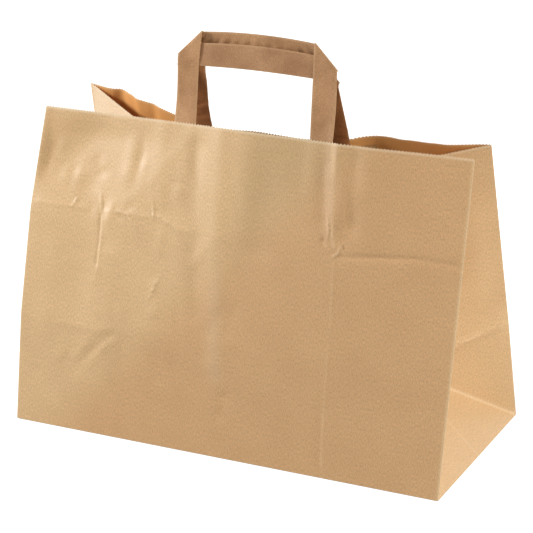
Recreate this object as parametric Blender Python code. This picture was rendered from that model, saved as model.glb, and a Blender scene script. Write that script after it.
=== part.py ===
"""Kraft paper carrier bag with a block bottom, side gussets and two flat folded paper handles.

The bag stands on its base. The origin is the centre of the base, +X runs along the width,
+Y runs from the front panel to the back panel, and +Z is up.
"""

import math

import bmesh
import bpy
import numpy as np

# Bag sheet, in metres
BAG_WIDTH = 0.350
BAG_DEPTH = 0.170
SHEET_HEIGHT = 0.245
PAPER = 0.0002

# Mouth: the gap between the rims at six places across the width
MOUTH_GAP_LEFT = 0.0635
MOUTH_GAP_LEFT_PATCH = 0.036
MOUTH_GAP_LEFT_LEG = 0.028
MOUTH_GAP_RIGHT_LEG = 0.035
MOUTH_GAP_RIGHT_PATCH = 0.0505
MOUTH_GAP_RIGHT = 0.0425

# Mouth: how far the middle of that gap lies behind the middle of the base
MOUTH_PLACE_LEFT = 0.004
MOUTH_PLACE_LEFT_PATCH = -0.012
MOUTH_PLACE_LEFT_LEG = -0.018
MOUTH_PLACE_RIGHT_LEG = -0.0185
MOUTH_PLACE_RIGHT_PATCH = -0.013
MOUTH_PLACE_RIGHT = -0.003
FRONT_RIM_TAPER = 0.001
BACK_RIM_TAPER = 0.005

# Creases, and how far the panels stand out there at the left edge or all along
PACKING_CREASE_HEIGHT = 0.167
PACKING_CREASE_BULGE = 0.0085
FRONT_LOWER_BOW = 0.004
BACK_CREASE_BULGE = 0.002
GUSSET_FOLD_ANGLE = math.radians(46.8)

# Pinked rim
TOOTH_PITCH = 0.0022
TOOTH_DEPTH = 0.0009
RIM_BAND = 0.006
FOLD_MARGIN = 0.005
PLAIN_RIM = 0.006

# Glued seam on the back panel and overlapped flaps of the bottom
SEAM_OVERLAP = 0.015
SEAM_INSET = 0.022
FLAP_OVERLAP = 0.024
FLAP_SETBACK = 0.0005

# Handles, patches and the clearance between glued plies
TAPE_WIDTH = 0.0194
TAPE = 0.0006
HANDLE_WIDTH = 0.131
HANDLE_LENGTH = 0.1115
FRONT_HANDLE_RISE = 0.0695
BACK_HANDLE_RISE = 0.077
FRONT_HANDLE_SHIFT = 0.0055
BACK_HANDLE_SHIFT = 0.004
HANDLE_ARCH = 0.0022
GRIP_MARGIN = 0.003
GRIP_LEAN = math.radians(7.5)
PATCH_WIDTH = 0.164
PATCH_HEIGHT = 0.045
PATCH_DROP = 0.007
PATCH_RAMP = 0.002
PLY_GAP = 0.0003

# Mesh fineness
ROW_STEP = 0.030
COLUMN_STEP = 0.016
WELD = 0.000002

# Values that follow from the sizes above
HALF_WIDTH = BAG_WIDTH / 2
HALF_DEPTH = BAG_DEPTH / 2
FRONT = -1
BACK = 1
LEFT = -1
RIGHT = 1
SHEET_LEVEL = 2 * PAPER
LAYER_PITCH = TAPE + PLY_GAP
TAPE_FROM_PANEL = PAPER + PLY_GAP + TAPE / 2
PATCH_ON_PANEL = PAPER + PLY_GAP + PAPER / 2
PATCH_ON_TAPE = PAPER + PLY_GAP + TAPE + PLY_GAP + PAPER / 2


def clear_scene():
    for item in list(bpy.data.objects):
        bpy.data.objects.remove(item, do_unlink=True)


def unit(vector):
    return vector / np.linalg.norm(vector)


def mix(start, end, share):
    return start + (end - start) * share


def split(start, end, longest):
    """Even steps from start to end, none longer than longest, without the end itself."""
    count = max(1, math.ceil(abs(end - start) / longest - 1e-9))
    return [mix(start, end, index / count) for index in range(count)]


def divided(breaks, longest):
    """The breaks in order, with the wider spans split evenly."""
    ordered = sorted(set(breaks))
    values = []
    for start, end in zip(ordered, ordered[1:]):
        values += split(start, end, longest)
    return values + [ordered[-1]]


# Walls of the bag


def handle_shift(face):
    """How far a handle sits to the right of the middle of the bag."""
    return FRONT_HANDLE_SHIFT if face == FRONT else BACK_HANDLE_SHIFT


def leg_span(face, side):
    """Outer and inner edge of a handle leg."""
    outer = handle_shift(face) + side * HANDLE_WIDTH / 2
    return outer, outer - side * TAPE_WIDTH


def patch_end(face, side):
    """End of the paper strip that is glued over the handle ends."""
    return handle_shift(face) + side * PATCH_WIDTH / 2


def rim_y(x, face):
    """The rims are drawn together between the legs and turn at the ends of the stiff patches."""
    places = [-HALF_WIDTH, patch_end(face, LEFT), leg_span(face, LEFT)[0]]
    places += [leg_span(face, RIGHT)[0], patch_end(face, RIGHT), HALF_WIDTH]
    gaps = [MOUTH_GAP_LEFT, MOUTH_GAP_LEFT_PATCH, MOUTH_GAP_LEFT_LEG]
    gaps += [MOUTH_GAP_RIGHT_LEG, MOUTH_GAP_RIGHT_PATCH, MOUTH_GAP_RIGHT]
    middles = [MOUTH_PLACE_LEFT, MOUTH_PLACE_LEFT_PATCH, MOUTH_PLACE_LEFT_LEG]
    middles += [MOUTH_PLACE_RIGHT_LEG, MOUTH_PLACE_RIGHT_PATCH, MOUTH_PLACE_RIGHT]
    return np.interp(x, places, middles) + face * np.interp(x, places, gaps) / 2


def wall_profile(face, x):
    """Heights along the sheet, and how far forward or back the panel lies there."""
    base_y = face * HALF_DEPTH
    top_y = rim_y(x, face)
    if face == BACK:
        crease_y = mix(base_y, top_y, HALF_DEPTH / SHEET_HEIGHT) + BACK_CREASE_BULGE
        return [0.0, HALF_DEPTH, SHEET_HEIGHT], [base_y, crease_y, top_y]
    leftness = 0.5 - x / BAG_WIDTH
    crease_y = mix(base_y, top_y, PACKING_CREASE_HEIGHT / SHEET_HEIGHT)
    crease_y -= PACKING_CREASE_BULGE * leftness
    lower_y = mix(base_y, crease_y, HALF_DEPTH / PACKING_CREASE_HEIGHT)
    lower_y -= FRONT_LOWER_BOW * leftness
    heights = [0.0, HALF_DEPTH, PACKING_CREASE_HEIGHT, SHEET_HEIGHT]
    return heights, [base_y, lower_y, crease_y, top_y]


def wall_point(face, x, height):
    """Outer face of the front or back panel, height along the sheet above the bottom fold.

    The panel keeps its length: each straight stretch leans in and rises by what is left.
    """
    heights, depths = wall_profile(face, x)
    levels = [SHEET_LEVEL]
    for low, high, near, far in zip(heights, heights[1:], depths, depths[1:]):
        levels.append(levels[-1] + math.sqrt((high - low) ** 2 - (far - near) ** 2))
    taper = FRONT_RIM_TAPER if face == FRONT else BACK_RIM_TAPER
    narrowed = x * (1.0 - taper / HALF_WIDTH * height / SHEET_HEIGHT)
    y, z = np.interp(height, heights, depths), np.interp(height, heights, levels)
    return np.array([narrowed, y, z])


def sphere_meeting(first, second, third, radius, third_radius, inward):
    """Point at radius from first and second and third_radius from third, on the inward side."""
    middle = (first + second) / 2
    across = unit(second - first)
    level = third - middle
    along = level - across * level.dot(across)
    reach = math.sqrt(radius ** 2 - (np.linalg.norm(second - first) / 2) ** 2)
    span = np.linalg.norm(along)
    drop = level.dot(across)
    flat_radius = math.sqrt(third_radius ** 2 - drop ** 2)
    towards = unit(along)
    share = (reach ** 2 - flat_radius ** 2 + span ** 2) / (2 * span)
    side = unit(np.cross(across, towards))
    if side.dot(inward) < 0:
        side = -side
    return middle + towards * share + side * math.sqrt(reach ** 2 - share ** 2)


class Gusset:
    """Side wall folded inward: a bottom triangle and two halves that meet at a centre crease."""

    def __init__(self, side):
        self.side = side
        self.edge_x = side * HALF_WIDTH
        sink = HALF_DEPTH * math.sin(GUSSET_FOLD_ANGLE)
        lift = HALF_DEPTH * math.cos(GUSSET_FOLD_ANGLE)
        self.apex = np.array([side * (HALF_WIDTH - sink), 0.0, SHEET_LEVEL + lift])
        front_top = wall_point(FRONT, self.edge_x, SHEET_HEIGHT)
        back_top = wall_point(BACK, self.edge_x, SHEET_HEIGHT)
        inward = np.array([-side, 0.0, 0.0])
        self.valley = sphere_meeting(
            front_top, back_top, self.apex, HALF_DEPTH, SHEET_HEIGHT - HALF_DEPTH, inward)

    def crease(self, face, height):
        """Centre crease above the apex, and below it the slanted crease to a bottom corner."""
        if height >= HALF_DEPTH:
            return mix(self.apex, self.valley, (height - HALF_DEPTH) / (SHEET_HEIGHT - HALF_DEPTH))
        return mix(wall_point(face, self.edge_x, 0.0), self.apex, height / HALF_DEPTH)

    def point(self, face, share, height):
        """Half of the gusset beside face, share 0 at the bag's edge and 1 at the crease."""
        return mix(wall_point(face, self.edge_x, height), self.crease(face, height), share)


# Columns where the panels are faceted, shared with the patches and handles they carry


def patch_columns(face):
    """Ends of a patch, and the two steps where it climbs over each side of a leg."""
    ends = [patch_end(face, LEFT), patch_end(face, RIGHT)]
    steps = []
    for side in (LEFT, RIGHT):
        outer, inner = leg_span(face, side)
        steps += [outer + side * PLY_GAP, outer + side * (PLY_GAP + PATCH_RAMP)]
        steps += [inner - side * PLY_GAP, inner - side * (PLY_GAP + PATCH_RAMP)]
    return ends + steps


def under_leg(face, x, margin):
    """True where x lies across a handle leg, or within margin of its edges."""
    spans = [sorted(leg_span(face, side)) for side in (LEFT, RIGHT)]
    return any(low - margin < x < high + margin for low, high in spans)


def panel_columns(face):
    """The stiff tape holds the panel flat across each leg, so no column crosses a leg."""
    breaks = patch_columns(face)
    breaks += [-HALF_WIDTH, -HALF_WIDTH + FOLD_MARGIN, HALF_WIDTH - FOLD_MARGIN, HALF_WIDTH]
    breaks += [seam_edge() - SEAM_OVERLAP, seam_edge(), seam_edge() + PAPER]
    return [x for x in divided(breaks, COLUMN_STEP) if not under_leg(face, x, PLY_GAP / 2)]


def seam_edge():
    """Where the outer ply of the glued seam ends on the back panel."""
    return -HALF_WIDTH + SEAM_INSET


def on_panel(face, x, height, depth):
    """Point at depth inside the faceted panel's outer face.

    On the line between two facets the one under a leg counts, so a patch stays level there.
    """
    columns = panel_columns(face)
    index = int(np.clip(np.searchsorted(columns, x, side="right") - 1, 0, len(columns) - 2))
    if x == columns[index] and under_leg(face, (columns[index - 1] + x) / 2, 0.0):
        index -= 1
    left, right = columns[index], columns[index + 1]
    share = (x - left) / (right - left)
    low = wall_point(face, left, height), wall_point(face, right, height)
    step = RIM_BAND
    below = wall_point(face, left, height - step), wall_point(face, right, height - step)
    surface = mix(low[0], low[1], share)
    rise = surface - mix(below[0], below[1], share)
    inward = unit(np.cross(rise, low[1] - low[0]))
    if inward[1] * face > 0:
        inward = -inward
    return surface + inward * depth


# Sheets made into solids


class Sheet:
    """Open surface built face by face, with matching points welded."""

    def __init__(self):
        self.points = []
        self.lifts = []
        self.lookup = {}
        self.faces = []

    def vertex(self, point):
        key = tuple(int(round(value / WELD)) for value in point)
        if key not in self.lookup:
            self.lookup[key] = len(self.points)
            self.points.append(np.array(point, dtype=float))
            self.lifts.append(0.0)
        return self.lookup[key]

    def raise_point(self, point, lift):
        self.lifts[self.vertex(point)] = lift

    def face(self, corners):
        indices = []
        for corner in corners:
            index = self.vertex(corner)
            if index not in indices:
                indices.append(index)
        if len(indices) > 2:
            self.faces.append(indices)

    def grid(self, columns):
        """Quads between neighbouring columns of points."""
        for left, right in zip(columns, columns[1:]):
            for row in range(len(left) - 1):
                self.face([left[row], right[row], right[row + 1], left[row + 1]])


def offset_directions(bm):
    """For each vertex, the move that shifts every face around it by one unit."""
    directions = []
    for vertex in bm.verts:
        normals = np.array([face.normal for face in vertex.link_faces])
        solved = np.linalg.lstsq(normals, np.ones(len(normals)), rcond=0.05)
        directions.append(solved[0])
    return directions


def solid_from_sheet(name, sheet, outward, inward):
    """Closed solid between two offsets of the sheet, with its raised points further out."""
    bm = bmesh.new()
    for point in sheet.points:
        bm.verts.new(point)
    bm.verts.ensure_lookup_table()
    for indices in sheet.faces:
        bm.faces.new([bm.verts[index] for index in indices])
    bmesh.ops.triangulate(bm, faces=bm.faces[:], ngon_method="EAR_CLIP")
    bm.normal_update()
    bm.verts.ensure_lookup_table()
    directions = offset_directions(bm)
    outer = list(bm.verts)
    first_faces = list(bm.faces)
    rim = [edge for edge in bm.edges if edge.is_boundary]
    rim_pairs = [(loop.vert, loop.link_loop_next.vert) for edge in rim for loop in edge.link_loops]
    inner = []
    for index, vertex in enumerate(outer):
        place = np.array(vertex.co) - directions[index] * inward
        inner.append(bm.verts.new(place))
    twin = dict(zip(outer, inner))
    for index, vertex in enumerate(outer):
        vertex.co = np.array(vertex.co) + directions[index] * (outward + sheet.lifts[index])
    for face in first_faces:
        bm.faces.new([twin[vertex] for vertex in reversed(face.verts)])
    for start, end in rim_pairs:
        bm.faces.new([end, start, twin[start], twin[end]])
    bmesh.ops.triangulate(bm, faces=[face for face in bm.faces if len(face.verts) > 3])
    bmesh.ops.recalc_face_normals(bm, faces=bm.faces)
    return object_from_bmesh(name, bm)


def object_from_bmesh(name, bm):
    mesh = bpy.data.meshes.new(name)
    bm.to_mesh(mesh)
    bm.free()
    item = bpy.data.objects.new(name, mesh)
    bpy.context.collection.objects.link(item)
    return item


# Bag body


def sheet_rows():
    """Heights along the sheet where the walls are faceted, up to the pinked band."""
    breaks = [0.0, HALF_DEPTH, PACKING_CREASE_HEIGHT, SHEET_HEIGHT - RIM_BAND]
    return divided(breaks, ROW_STEP)


class Column:
    """Upright line on the bag: its place along a panel or gusset, and how far it is raised."""

    def __init__(self, surface, face, place, lift):
        self.surface = surface
        self.face = face
        self.place = place
        self.lift = lift

    def at(self, height):
        return self.surface(self.face, self.place, height)


def ring_columns():
    """Upright lines all the way round the bag, the first one again at the end."""
    columns = []

    def add_panel(face, ordered):
        for x in ordered:
            lift = seam_lift(x) if face == BACK else 0.0
            columns.append(Column(wall_point, face, x, lift))

    def add_gusset_half(gusset, face, shares):
        for share in shares:
            columns.append(Column(gusset.point, face, share, 0.0))

    margin = FOLD_MARGIN / HALF_DEPTH
    inside = divided([margin, 1.0 - margin], COLUMN_STEP / HALF_DEPTH)
    right, left = Gusset(RIGHT), Gusset(LEFT)
    add_panel(FRONT, panel_columns(FRONT))
    add_gusset_half(right, FRONT, inside + [1.0])
    add_gusset_half(right, BACK, [1.0] + inside[::-1])
    add_panel(BACK, panel_columns(BACK)[::-1])
    add_gusset_half(left, BACK, inside + [1.0])
    add_gusset_half(left, FRONT, [1.0] + inside[::-1])
    return columns + [columns[0]]


def pinked_band(sheet, left, right):
    """Top band of the sheet between two columns, cut into teeth away from the folds."""
    foot = SHEET_HEIGHT - TOOTH_DEPTH
    band = SHEET_HEIGHT - RIM_BAND
    width = np.linalg.norm(right.at(foot) - left.at(foot))
    if width < PLAIN_RIM:
        sheet.face([left.at(band), right.at(band), right.at(foot), left.at(foot)])
        return
    count = max(1, round(width / TOOTH_PITCH))
    feet = [mix(left.at(foot), right.at(foot), tooth / count) for tooth in range(count + 1)]
    sheet.face([left.at(band), right.at(band), right.at(foot)])
    for tooth in range(count):
        middle = (tooth + 0.5) / count
        tip = mix(left.at(SHEET_HEIGHT), right.at(SHEET_HEIGHT), middle)
        sheet.face([left.at(band), feet[tooth + 1], feet[tooth]])
        sheet.face([feet[tooth], feet[tooth + 1], tip])
        sheet.raise_point(feet[tooth], mix(left.lift, right.lift, tooth / count))
        sheet.raise_point(tip, mix(left.lift, right.lift, middle))


def seam_lift(x):
    """Outward lift of the back panel over the glued overlap, where two plies lie together."""
    share = (x - seam_edge() + SEAM_OVERLAP) / SEAM_OVERLAP
    return PAPER * share if 0.0 <= share <= 1.0 + WELD else 0.0


def bag_body():
    sheet = Sheet()
    rows = sheet_rows()
    columns = ring_columns()
    for left, right in zip(columns, columns[1:]):
        for low, high in zip(rows, rows[1:]):
            sheet.face([left.at(low), right.at(low), right.at(high), left.at(high)])
            sheet.raise_point(left.at(high), left.lift)
        if np.linalg.norm(right.at(rows[-1]) - left.at(rows[-1])) > WELD:
            pinked_band(sheet, left, right)
    back_line = [wall_point(BACK, x, 0.0) for x in panel_columns(BACK)]
    front_line = [wall_point(FRONT, x, 0.0) for x in panel_columns(FRONT)]
    sheet.grid([list(pair) for pair in zip(back_line, front_line)])
    body = solid_from_sheet("bag_body", sheet, 0.0, PAPER)
    for flap in (bottom_flap(BACK), bottom_flap(FRONT)):
        join = body.modifiers.new(flap.name, "BOOLEAN")
        join.operation = "UNION"
        join.solver = "EXACT"
        join.object = flap
    return body


def bottom_flap(face):
    """Ply under the base: a trapezium with slanted ends, the front flap glued over the back one."""
    level = 0.0 if face == FRONT else PAPER
    fold = HALF_DEPTH - FLAP_SETBACK
    end = FLAP_OVERLAP / 2
    corners = []
    for reach, side in ((fold, LEFT), (fold, RIGHT), (-end, RIGHT), (-end, LEFT)):
        half = HALF_WIDTH - HALF_DEPTH + reach - FLAP_SETBACK
        corners.append((side * half, face * reach))
    bm = bmesh.new()
    bottom = [bm.verts.new((x, y, level)) for x, y in corners]
    base = bm.faces.new(bottom)
    raised = bmesh.ops.extrude_face_region(bm, geom=[base])
    top = [item for item in raised["geom"] if isinstance(item, bmesh.types.BMVert)]
    bmesh.ops.translate(bm, verts=top, vec=(0.0, 0.0, SHEET_LEVEL + PAPER / 2 - level))
    bmesh.ops.recalc_face_normals(bm, faces=bm.faces)
    flap = object_from_bmesh("flap_back" if face == BACK else "flap_front", bm)
    flap.hide_render = True
    flap.display_type = "WIRE"
    return flap


# Handles


class Handle:
    """Flat tape folded at 45 degrees at both top corners, with its legs glued inside a panel."""

    def __init__(self, face):
        self.face = face
        self.middle = handle_shift(face)
        self.insert = HANDLE_LENGTH - (FRONT_HANDLE_RISE if face == FRONT else BACK_HANDLE_RISE)
        self.grip = HANDLE_LENGTH - TAPE_WIDTH - GRIP_MARGIN
        self.leg_layer = 0 if face == FRONT else 2
        self.bar_layer = 3 if face == FRONT else 1
        self.origin = on_panel(FRONT, self.middle, SHEET_HEIGHT, TAPE_FROM_PANEL)
        self.up = np.array([0.0, math.sin(GRIP_LEAN), math.cos(GRIP_LEAN)])
        self.behind = np.array([0.0, self.up[2], -self.up[1]])
        self.grip_rise = self.find_grip_rise()

    def find_grip_rise(self):
        """Where the straight leg meets the plane of the grips, so that its length holds."""
        length = self.grip - self.insert
        if self.face == FRONT:
            return length
        start = on_panel(BACK, self.middle, SHEET_HEIGHT, TAPE_FROM_PANEL)
        plane = self.origin + self.behind * self.leg_layer * LAYER_PITCH
        across = (start - plane).dot(self.behind)
        along = (start - plane).dot(self.up)
        return along + math.sqrt(length ** 2 - across ** 2)

    def on_grip(self, x, length, layer):
        """Point in a layer of the grips, at a length along the leg from its glued end."""
        rise = self.grip_rise + length - self.grip
        place = self.origin + self.up * rise + self.behind * layer * LAYER_PITCH
        place[0] = x
        return place

    def leg_point(self, x, length):
        if length <= self.insert:
            return on_panel(self.face, x, SHEET_HEIGHT - self.insert + length, TAPE_FROM_PANEL)
        if length >= self.grip:
            return self.on_grip(x, length, self.leg_layer)
        rim = on_panel(self.face, x, SHEET_HEIGHT, TAPE_FROM_PANEL)
        top = self.on_grip(x, self.grip, self.leg_layer)
        return mix(rim, top, (length - self.insert) / (self.grip - self.insert))

    def leg_rows(self, side):
        """Outer and inner points of a leg from its glued end to the slanted fold."""
        outer, inner = leg_span(self.face, side)
        lengths = divided([0.0, self.insert, self.grip], ROW_STEP / 2)
        rows = [(self.leg_point(outer, each), self.leg_point(inner, each)) for each in lengths]
        fold_outer = self.leg_point(outer, HANDLE_LENGTH - TAPE_WIDTH)
        fold_inner = self.leg_point(inner, HANDLE_LENGTH)
        return rows + [(fold_outer, fold_inner)]

    def bar_columns(self):
        """Bottom and top points of the crossbar between the two slanted folds."""
        left_outer, left_inner = leg_span(self.face, LEFT)
        right_outer, right_inner = leg_span(self.face, RIGHT)
        columns = []
        for share in divided([0.0, 1.0], COLUMN_STEP / HANDLE_WIDTH):
            high = HANDLE_LENGTH + HANDLE_ARCH * (1.0 - (2.0 * share - 1.0) ** 2)
            low = high - TAPE_WIDTH
            bottom = self.on_grip(mix(left_outer, right_outer, share), low, self.bar_layer)
            top = self.on_grip(mix(left_inner, right_inner, share), high, self.bar_layer)
            columns.append((bottom, top))
        return columns

    def build(self, name):
        sheet = Sheet()
        left = self.leg_rows(LEFT)
        right = self.leg_rows(RIGHT)
        bar = self.bar_columns()
        for low, high in zip(left, left[1:]):
            sheet.face([low[0], low[1], high[1], high[0]])
        for low, high in zip(right, right[1:]):
            sheet.face([low[1], low[0], high[0], high[1]])
        sheet.face([left[-1][0], left[-1][1], bar[0][1], bar[0][0]])
        sheet.face([right[-1][1], right[-1][0], bar[-1][0], bar[-1][1]])
        for first, second in zip(bar, bar[1:]):
            sheet.face([first[1], second[1], second[0], first[0]])
        return solid_from_sheet(name, sheet, TAPE / 2, TAPE / 2)


# Patches


def patch(name, face):
    """Paper strip glued over the handle ends, raised where it crosses a leg."""
    top = SHEET_HEIGHT - PATCH_DROP
    heights = divided([top - PATCH_HEIGHT, top], ROW_STEP)
    columns = []
    ends = patch_end(face, LEFT), patch_end(face, RIGHT)
    inside = [x for x in panel_columns(face) if ends[0] <= x <= ends[1]]
    for x in inside:
        depth = PATCH_ON_TAPE if under_leg(face, x, 2 * PLY_GAP) else PATCH_ON_PANEL
        columns.append([on_panel(face, x, height, depth) for height in heights])
    sheet = Sheet()
    sheet.grid(columns)
    return solid_from_sheet(name, sheet, PAPER / 2, PAPER / 2)


# Colours


def linear(code):
    """Linear colour of a six-figure hex code."""
    channels = []
    for start in (0, 2, 4):
        value = int(code[start:start + 2], 16) / 255
        channels.append(value / 12.92 if value <= 0.04045 else ((value + 0.055) / 1.055) ** 2.4)
    return (*channels, 1.0)


def paint(item, name, code, roughness):
    material = bpy.data.materials.new(name)
    material.use_nodes = True
    shader = next(node for node in material.node_tree.nodes if node.type == "BSDF_PRINCIPLED")
    shader.inputs["Base Color"].default_value = linear(code)
    shader.inputs["Roughness"].default_value = roughness
    shader.inputs["Metallic"].default_value = 0.0
    material.diffuse_color = linear(code)
    item.data.materials.append(material)


def main():
    clear_scene()
    paint(bag_body(), "kraft_sheet", "d2ab7c", 0.7)
    paint(Handle(FRONT).build("front_handle"), "kraft_tape", "b48c64", 0.65)
    paint(Handle(BACK).build("back_handle"), "kraft_tape_dark", "a67c52", 0.65)
    paint(patch("front_patch", FRONT), "kraft_patch", "bd8d55", 0.75)
    paint(patch("back_patch", BACK), "kraft_patch_back", "b98650", 0.75)


main()
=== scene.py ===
# %% [markdown]
# # A kraft paper carrier bag
# The real bag is one sheet of brown paper. A machine makes it into a tube with a pleat in
# each side, cuts it with a toothed knife, folds the bottom flat and glues two handles of
# folded paper tape inside the mouth. Here it is made in the same order: the blank is drawn
# flat, its creases are marked, and then every point of it is folded to its place.

import math

import bpy
import numpy as np
from mathutils import Matrix


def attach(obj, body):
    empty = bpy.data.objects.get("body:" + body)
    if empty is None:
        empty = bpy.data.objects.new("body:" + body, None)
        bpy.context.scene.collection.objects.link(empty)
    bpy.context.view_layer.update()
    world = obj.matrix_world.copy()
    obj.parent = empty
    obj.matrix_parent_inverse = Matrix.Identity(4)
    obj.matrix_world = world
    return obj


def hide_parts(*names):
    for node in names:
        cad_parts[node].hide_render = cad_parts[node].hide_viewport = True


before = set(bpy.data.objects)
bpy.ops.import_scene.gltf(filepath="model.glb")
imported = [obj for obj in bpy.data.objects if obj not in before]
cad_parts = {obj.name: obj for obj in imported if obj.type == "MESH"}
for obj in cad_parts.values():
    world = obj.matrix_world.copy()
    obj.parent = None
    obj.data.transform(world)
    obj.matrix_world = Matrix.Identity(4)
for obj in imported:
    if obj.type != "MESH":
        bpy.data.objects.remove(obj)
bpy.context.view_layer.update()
print("nodes:", ", ".join(sorted(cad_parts)))

# %% [markdown]
# The sizes come first. They are the ones the solid model was built with, in metres, so the
# sheet drawn here lands where the solid sheet is. The frame stands on z = 0 with the middle
# of the base at the origin, and the front panel faces -Y.

# %% Sizes of the bag
BAG_WIDTH = 0.350
BAG_DEPTH = 0.170
SHEET_HEIGHT = 0.245
PAPER = 0.0002
SHEET_LEVEL = 2 * PAPER
HALF_WIDTH = BAG_WIDTH / 2
HALF_DEPTH = BAG_DEPTH / 2
TURN = 2 * (BAG_WIDTH + BAG_DEPTH)
GUSSET_FOLD_ANGLE = math.radians(46.8)
FRONT, BACK, LEFT, RIGHT = -1, 1, -1, 1
MM = 0.001
print("sheet round the bag %.0f mm, height %.0f mm" % (TURN / MM, SHEET_HEIGHT / MM))

# %% Small helpers
def mix(start, end, share):
    return start + (end - start) * share


def unit(vectors):
    return vectors / np.linalg.norm(vectors, axis=-1, keepdims=True)


def curve_through(points, places):
    """Smooth curve through (place, value) points in millimetres, read at places in metres."""
    at, value = np.array(points, dtype=float).T * MM
    slope = np.gradient(value, at)
    span = np.clip(np.searchsorted(at, places) - 1, 0, len(at) - 2)
    width = at[span + 1] - at[span]
    share = np.clip((places - at[span]) / width, 0.0, 1.0)
    rise = share * share * (3.0 - 2.0 * share)
    bend = share * (1.0 - share) * width
    lean = slope[span] * (1.0 - share) - slope[span + 1] * share
    return mix(value[span], value[span + 1], rise) + bend * lean


def ease(value, low, high):
    """Goes softly from 0 at low to 1 at high."""
    share = np.clip((value - low) / (high - low), 0.0, 1.0)
    return share * share * (3.0 - 2.0 * share)


print("a quarter of the way, ease gives", ease(0.25, 0.0, 1.0))

# %% [markdown]
# ## The walls
# The front and back panels keep their length when they lean in, as paper does. Each column
# of a panel is worked out as a profile: how far forward it lies at every half millimetre up
# the sheet. Its height then follows from what is left of each step. A finer rim line, with
# the waves of the real mouth, fades out towards the straight bottom edge.

# %% Shape of the mouth and the panels
RIM_BROAD = {
    FRONT: [(-175, -27), (-76, -29), (0, -34.5), (80, -38.5), (175, -26)],
    BACK: [(-175, 36), (-120, 20), (-70, 2), (0, -1.5), (60, 2), (90, 11), (175, 19)],
}
RIM_FINE = {
    FRONT: [(-175, -25.2), (-150, -26.3), (-132, -26.9), (-105, -28.6), (-89, -29.3), (-59, -29.6),
            (-41, -31.3), (-27, -33.2), (-10, -34.9), (7, -35.8), (29, -36.8), (52, -36.9),
            (71, -38.8), (85, -41), (108, -38.6), (121, -35.6), (140, -31.8), (175, -26.2)],
    BACK: [(-175, 36.6), (-163, 33.6), (-152, 31.6), (-145, 31.6), (-133, 27), (-120, 21),
           (-102, 14), (-81, 6.5), (-60, 0.5), (-27, -1.6), (-9, -0.6), (10, -1.4), (28, -1.9),
           (55, 0.6), (66, 3.4), (76, 9), (84, 12), (98, 13.2), (118, 12.4), (139, 12.2),
           (152, 14.8), (169, 18.6), (175, 19.4)],
}
RIM_TAPER = {FRONT: 0.001, BACK: 0.005}
BULGE = {
    FRONT: [(0, 0), (85, 8.33), (167, 8.5), (245, 0)],
    BACK: [(0, 0), (85, 2), (245, 0)],
}
FINE = 0.0005
PROFILE_SMOOTHING = 40
HEIGHTS = np.linspace(0.0, SHEET_HEIGHT, round(SHEET_HEIGHT / FINE) + 1)


def panel_shape(face, x):
    """Outer face of a panel before its small creases: x by height by three coordinates."""
    share = HEIGHTS / SHEET_HEIGHT
    base = face * HALF_DEPTH
    broad = curve_through(RIM_BROAD[face], x)
    fine = curve_through(RIM_FINE[face], x)
    y = base + np.outer(broad - base, share) + np.outer(fine - broad, share ** 3)
    at, out = np.array(BULGE[face], dtype=float).T * MM
    side = 0.5 - x / BAG_WIDTH if face == FRONT else np.ones(len(x))
    y += face * np.outer(side, np.interp(HEIGHTS, at, out))
    for _ in range(PROFILE_SMOOTHING):
        y[:, 1:-1] = (y[:, :-2] + 2.0 * y[:, 1:-1] + y[:, 2:]) / 4.0
    steps = np.sqrt(FINE ** 2 - np.diff(y, axis=1) ** 2)
    z = SHEET_LEVEL + np.concatenate([np.zeros((len(x), 1)), np.cumsum(steps, axis=1)], axis=1)
    narrow = 1.0 - np.outer(np.ones(len(x)), share) * RIM_TAPER[face] / HALF_WIDTH
    return np.stack([x[:, None] * narrow, y, z], axis=2)


PANEL_X = np.linspace(-HALF_WIDTH, HALF_WIDTH, round(BAG_WIDTH / FINE) + 1)
MIDDLE = len(PANEL_X) // 2
panels = {face: panel_shape(face, PANEL_X) for face in (FRONT, BACK)}
print("front rim stands %.1f mm high, back rim %.1f mm" % (
    panels[FRONT][MIDDLE, -1, 2] / MM, panels[BACK][MIDDLE, -1, 2] / MM))

# %% [markdown]
# ## The side pleats
# A gusset is folded twice. Below 85 mm a triangle stands on the base, and its tip is where
# the two slanted creases meet the upright one. That tip, the two top corners of the bag and
# the paper's own lengths leave only one place for the top of the upright crease: it is found
# as the point where three spheres meet.

# %% Shape of the gussets
def sphere_meeting(first, second, third, radius, third_radius, inward):
    """Point at radius from first and second and third_radius from third."""
    middle = (first + second) / 2
    across = unit(second - first)
    level = third - middle
    along = level - across * level.dot(across)
    reach = math.sqrt(radius ** 2 - (np.linalg.norm(second - first) / 2) ** 2)
    span = np.linalg.norm(along)
    flat_radius = math.sqrt(third_radius ** 2 - level.dot(across) ** 2)
    towards = unit(along)
    share = (reach ** 2 - flat_radius ** 2 + span ** 2) / (2 * span)
    side = unit(np.cross(across, towards))
    if side.dot(inward) < 0:
        side = -side
    return middle + towards * share + side * math.sqrt(reach ** 2 - share ** 2)


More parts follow.
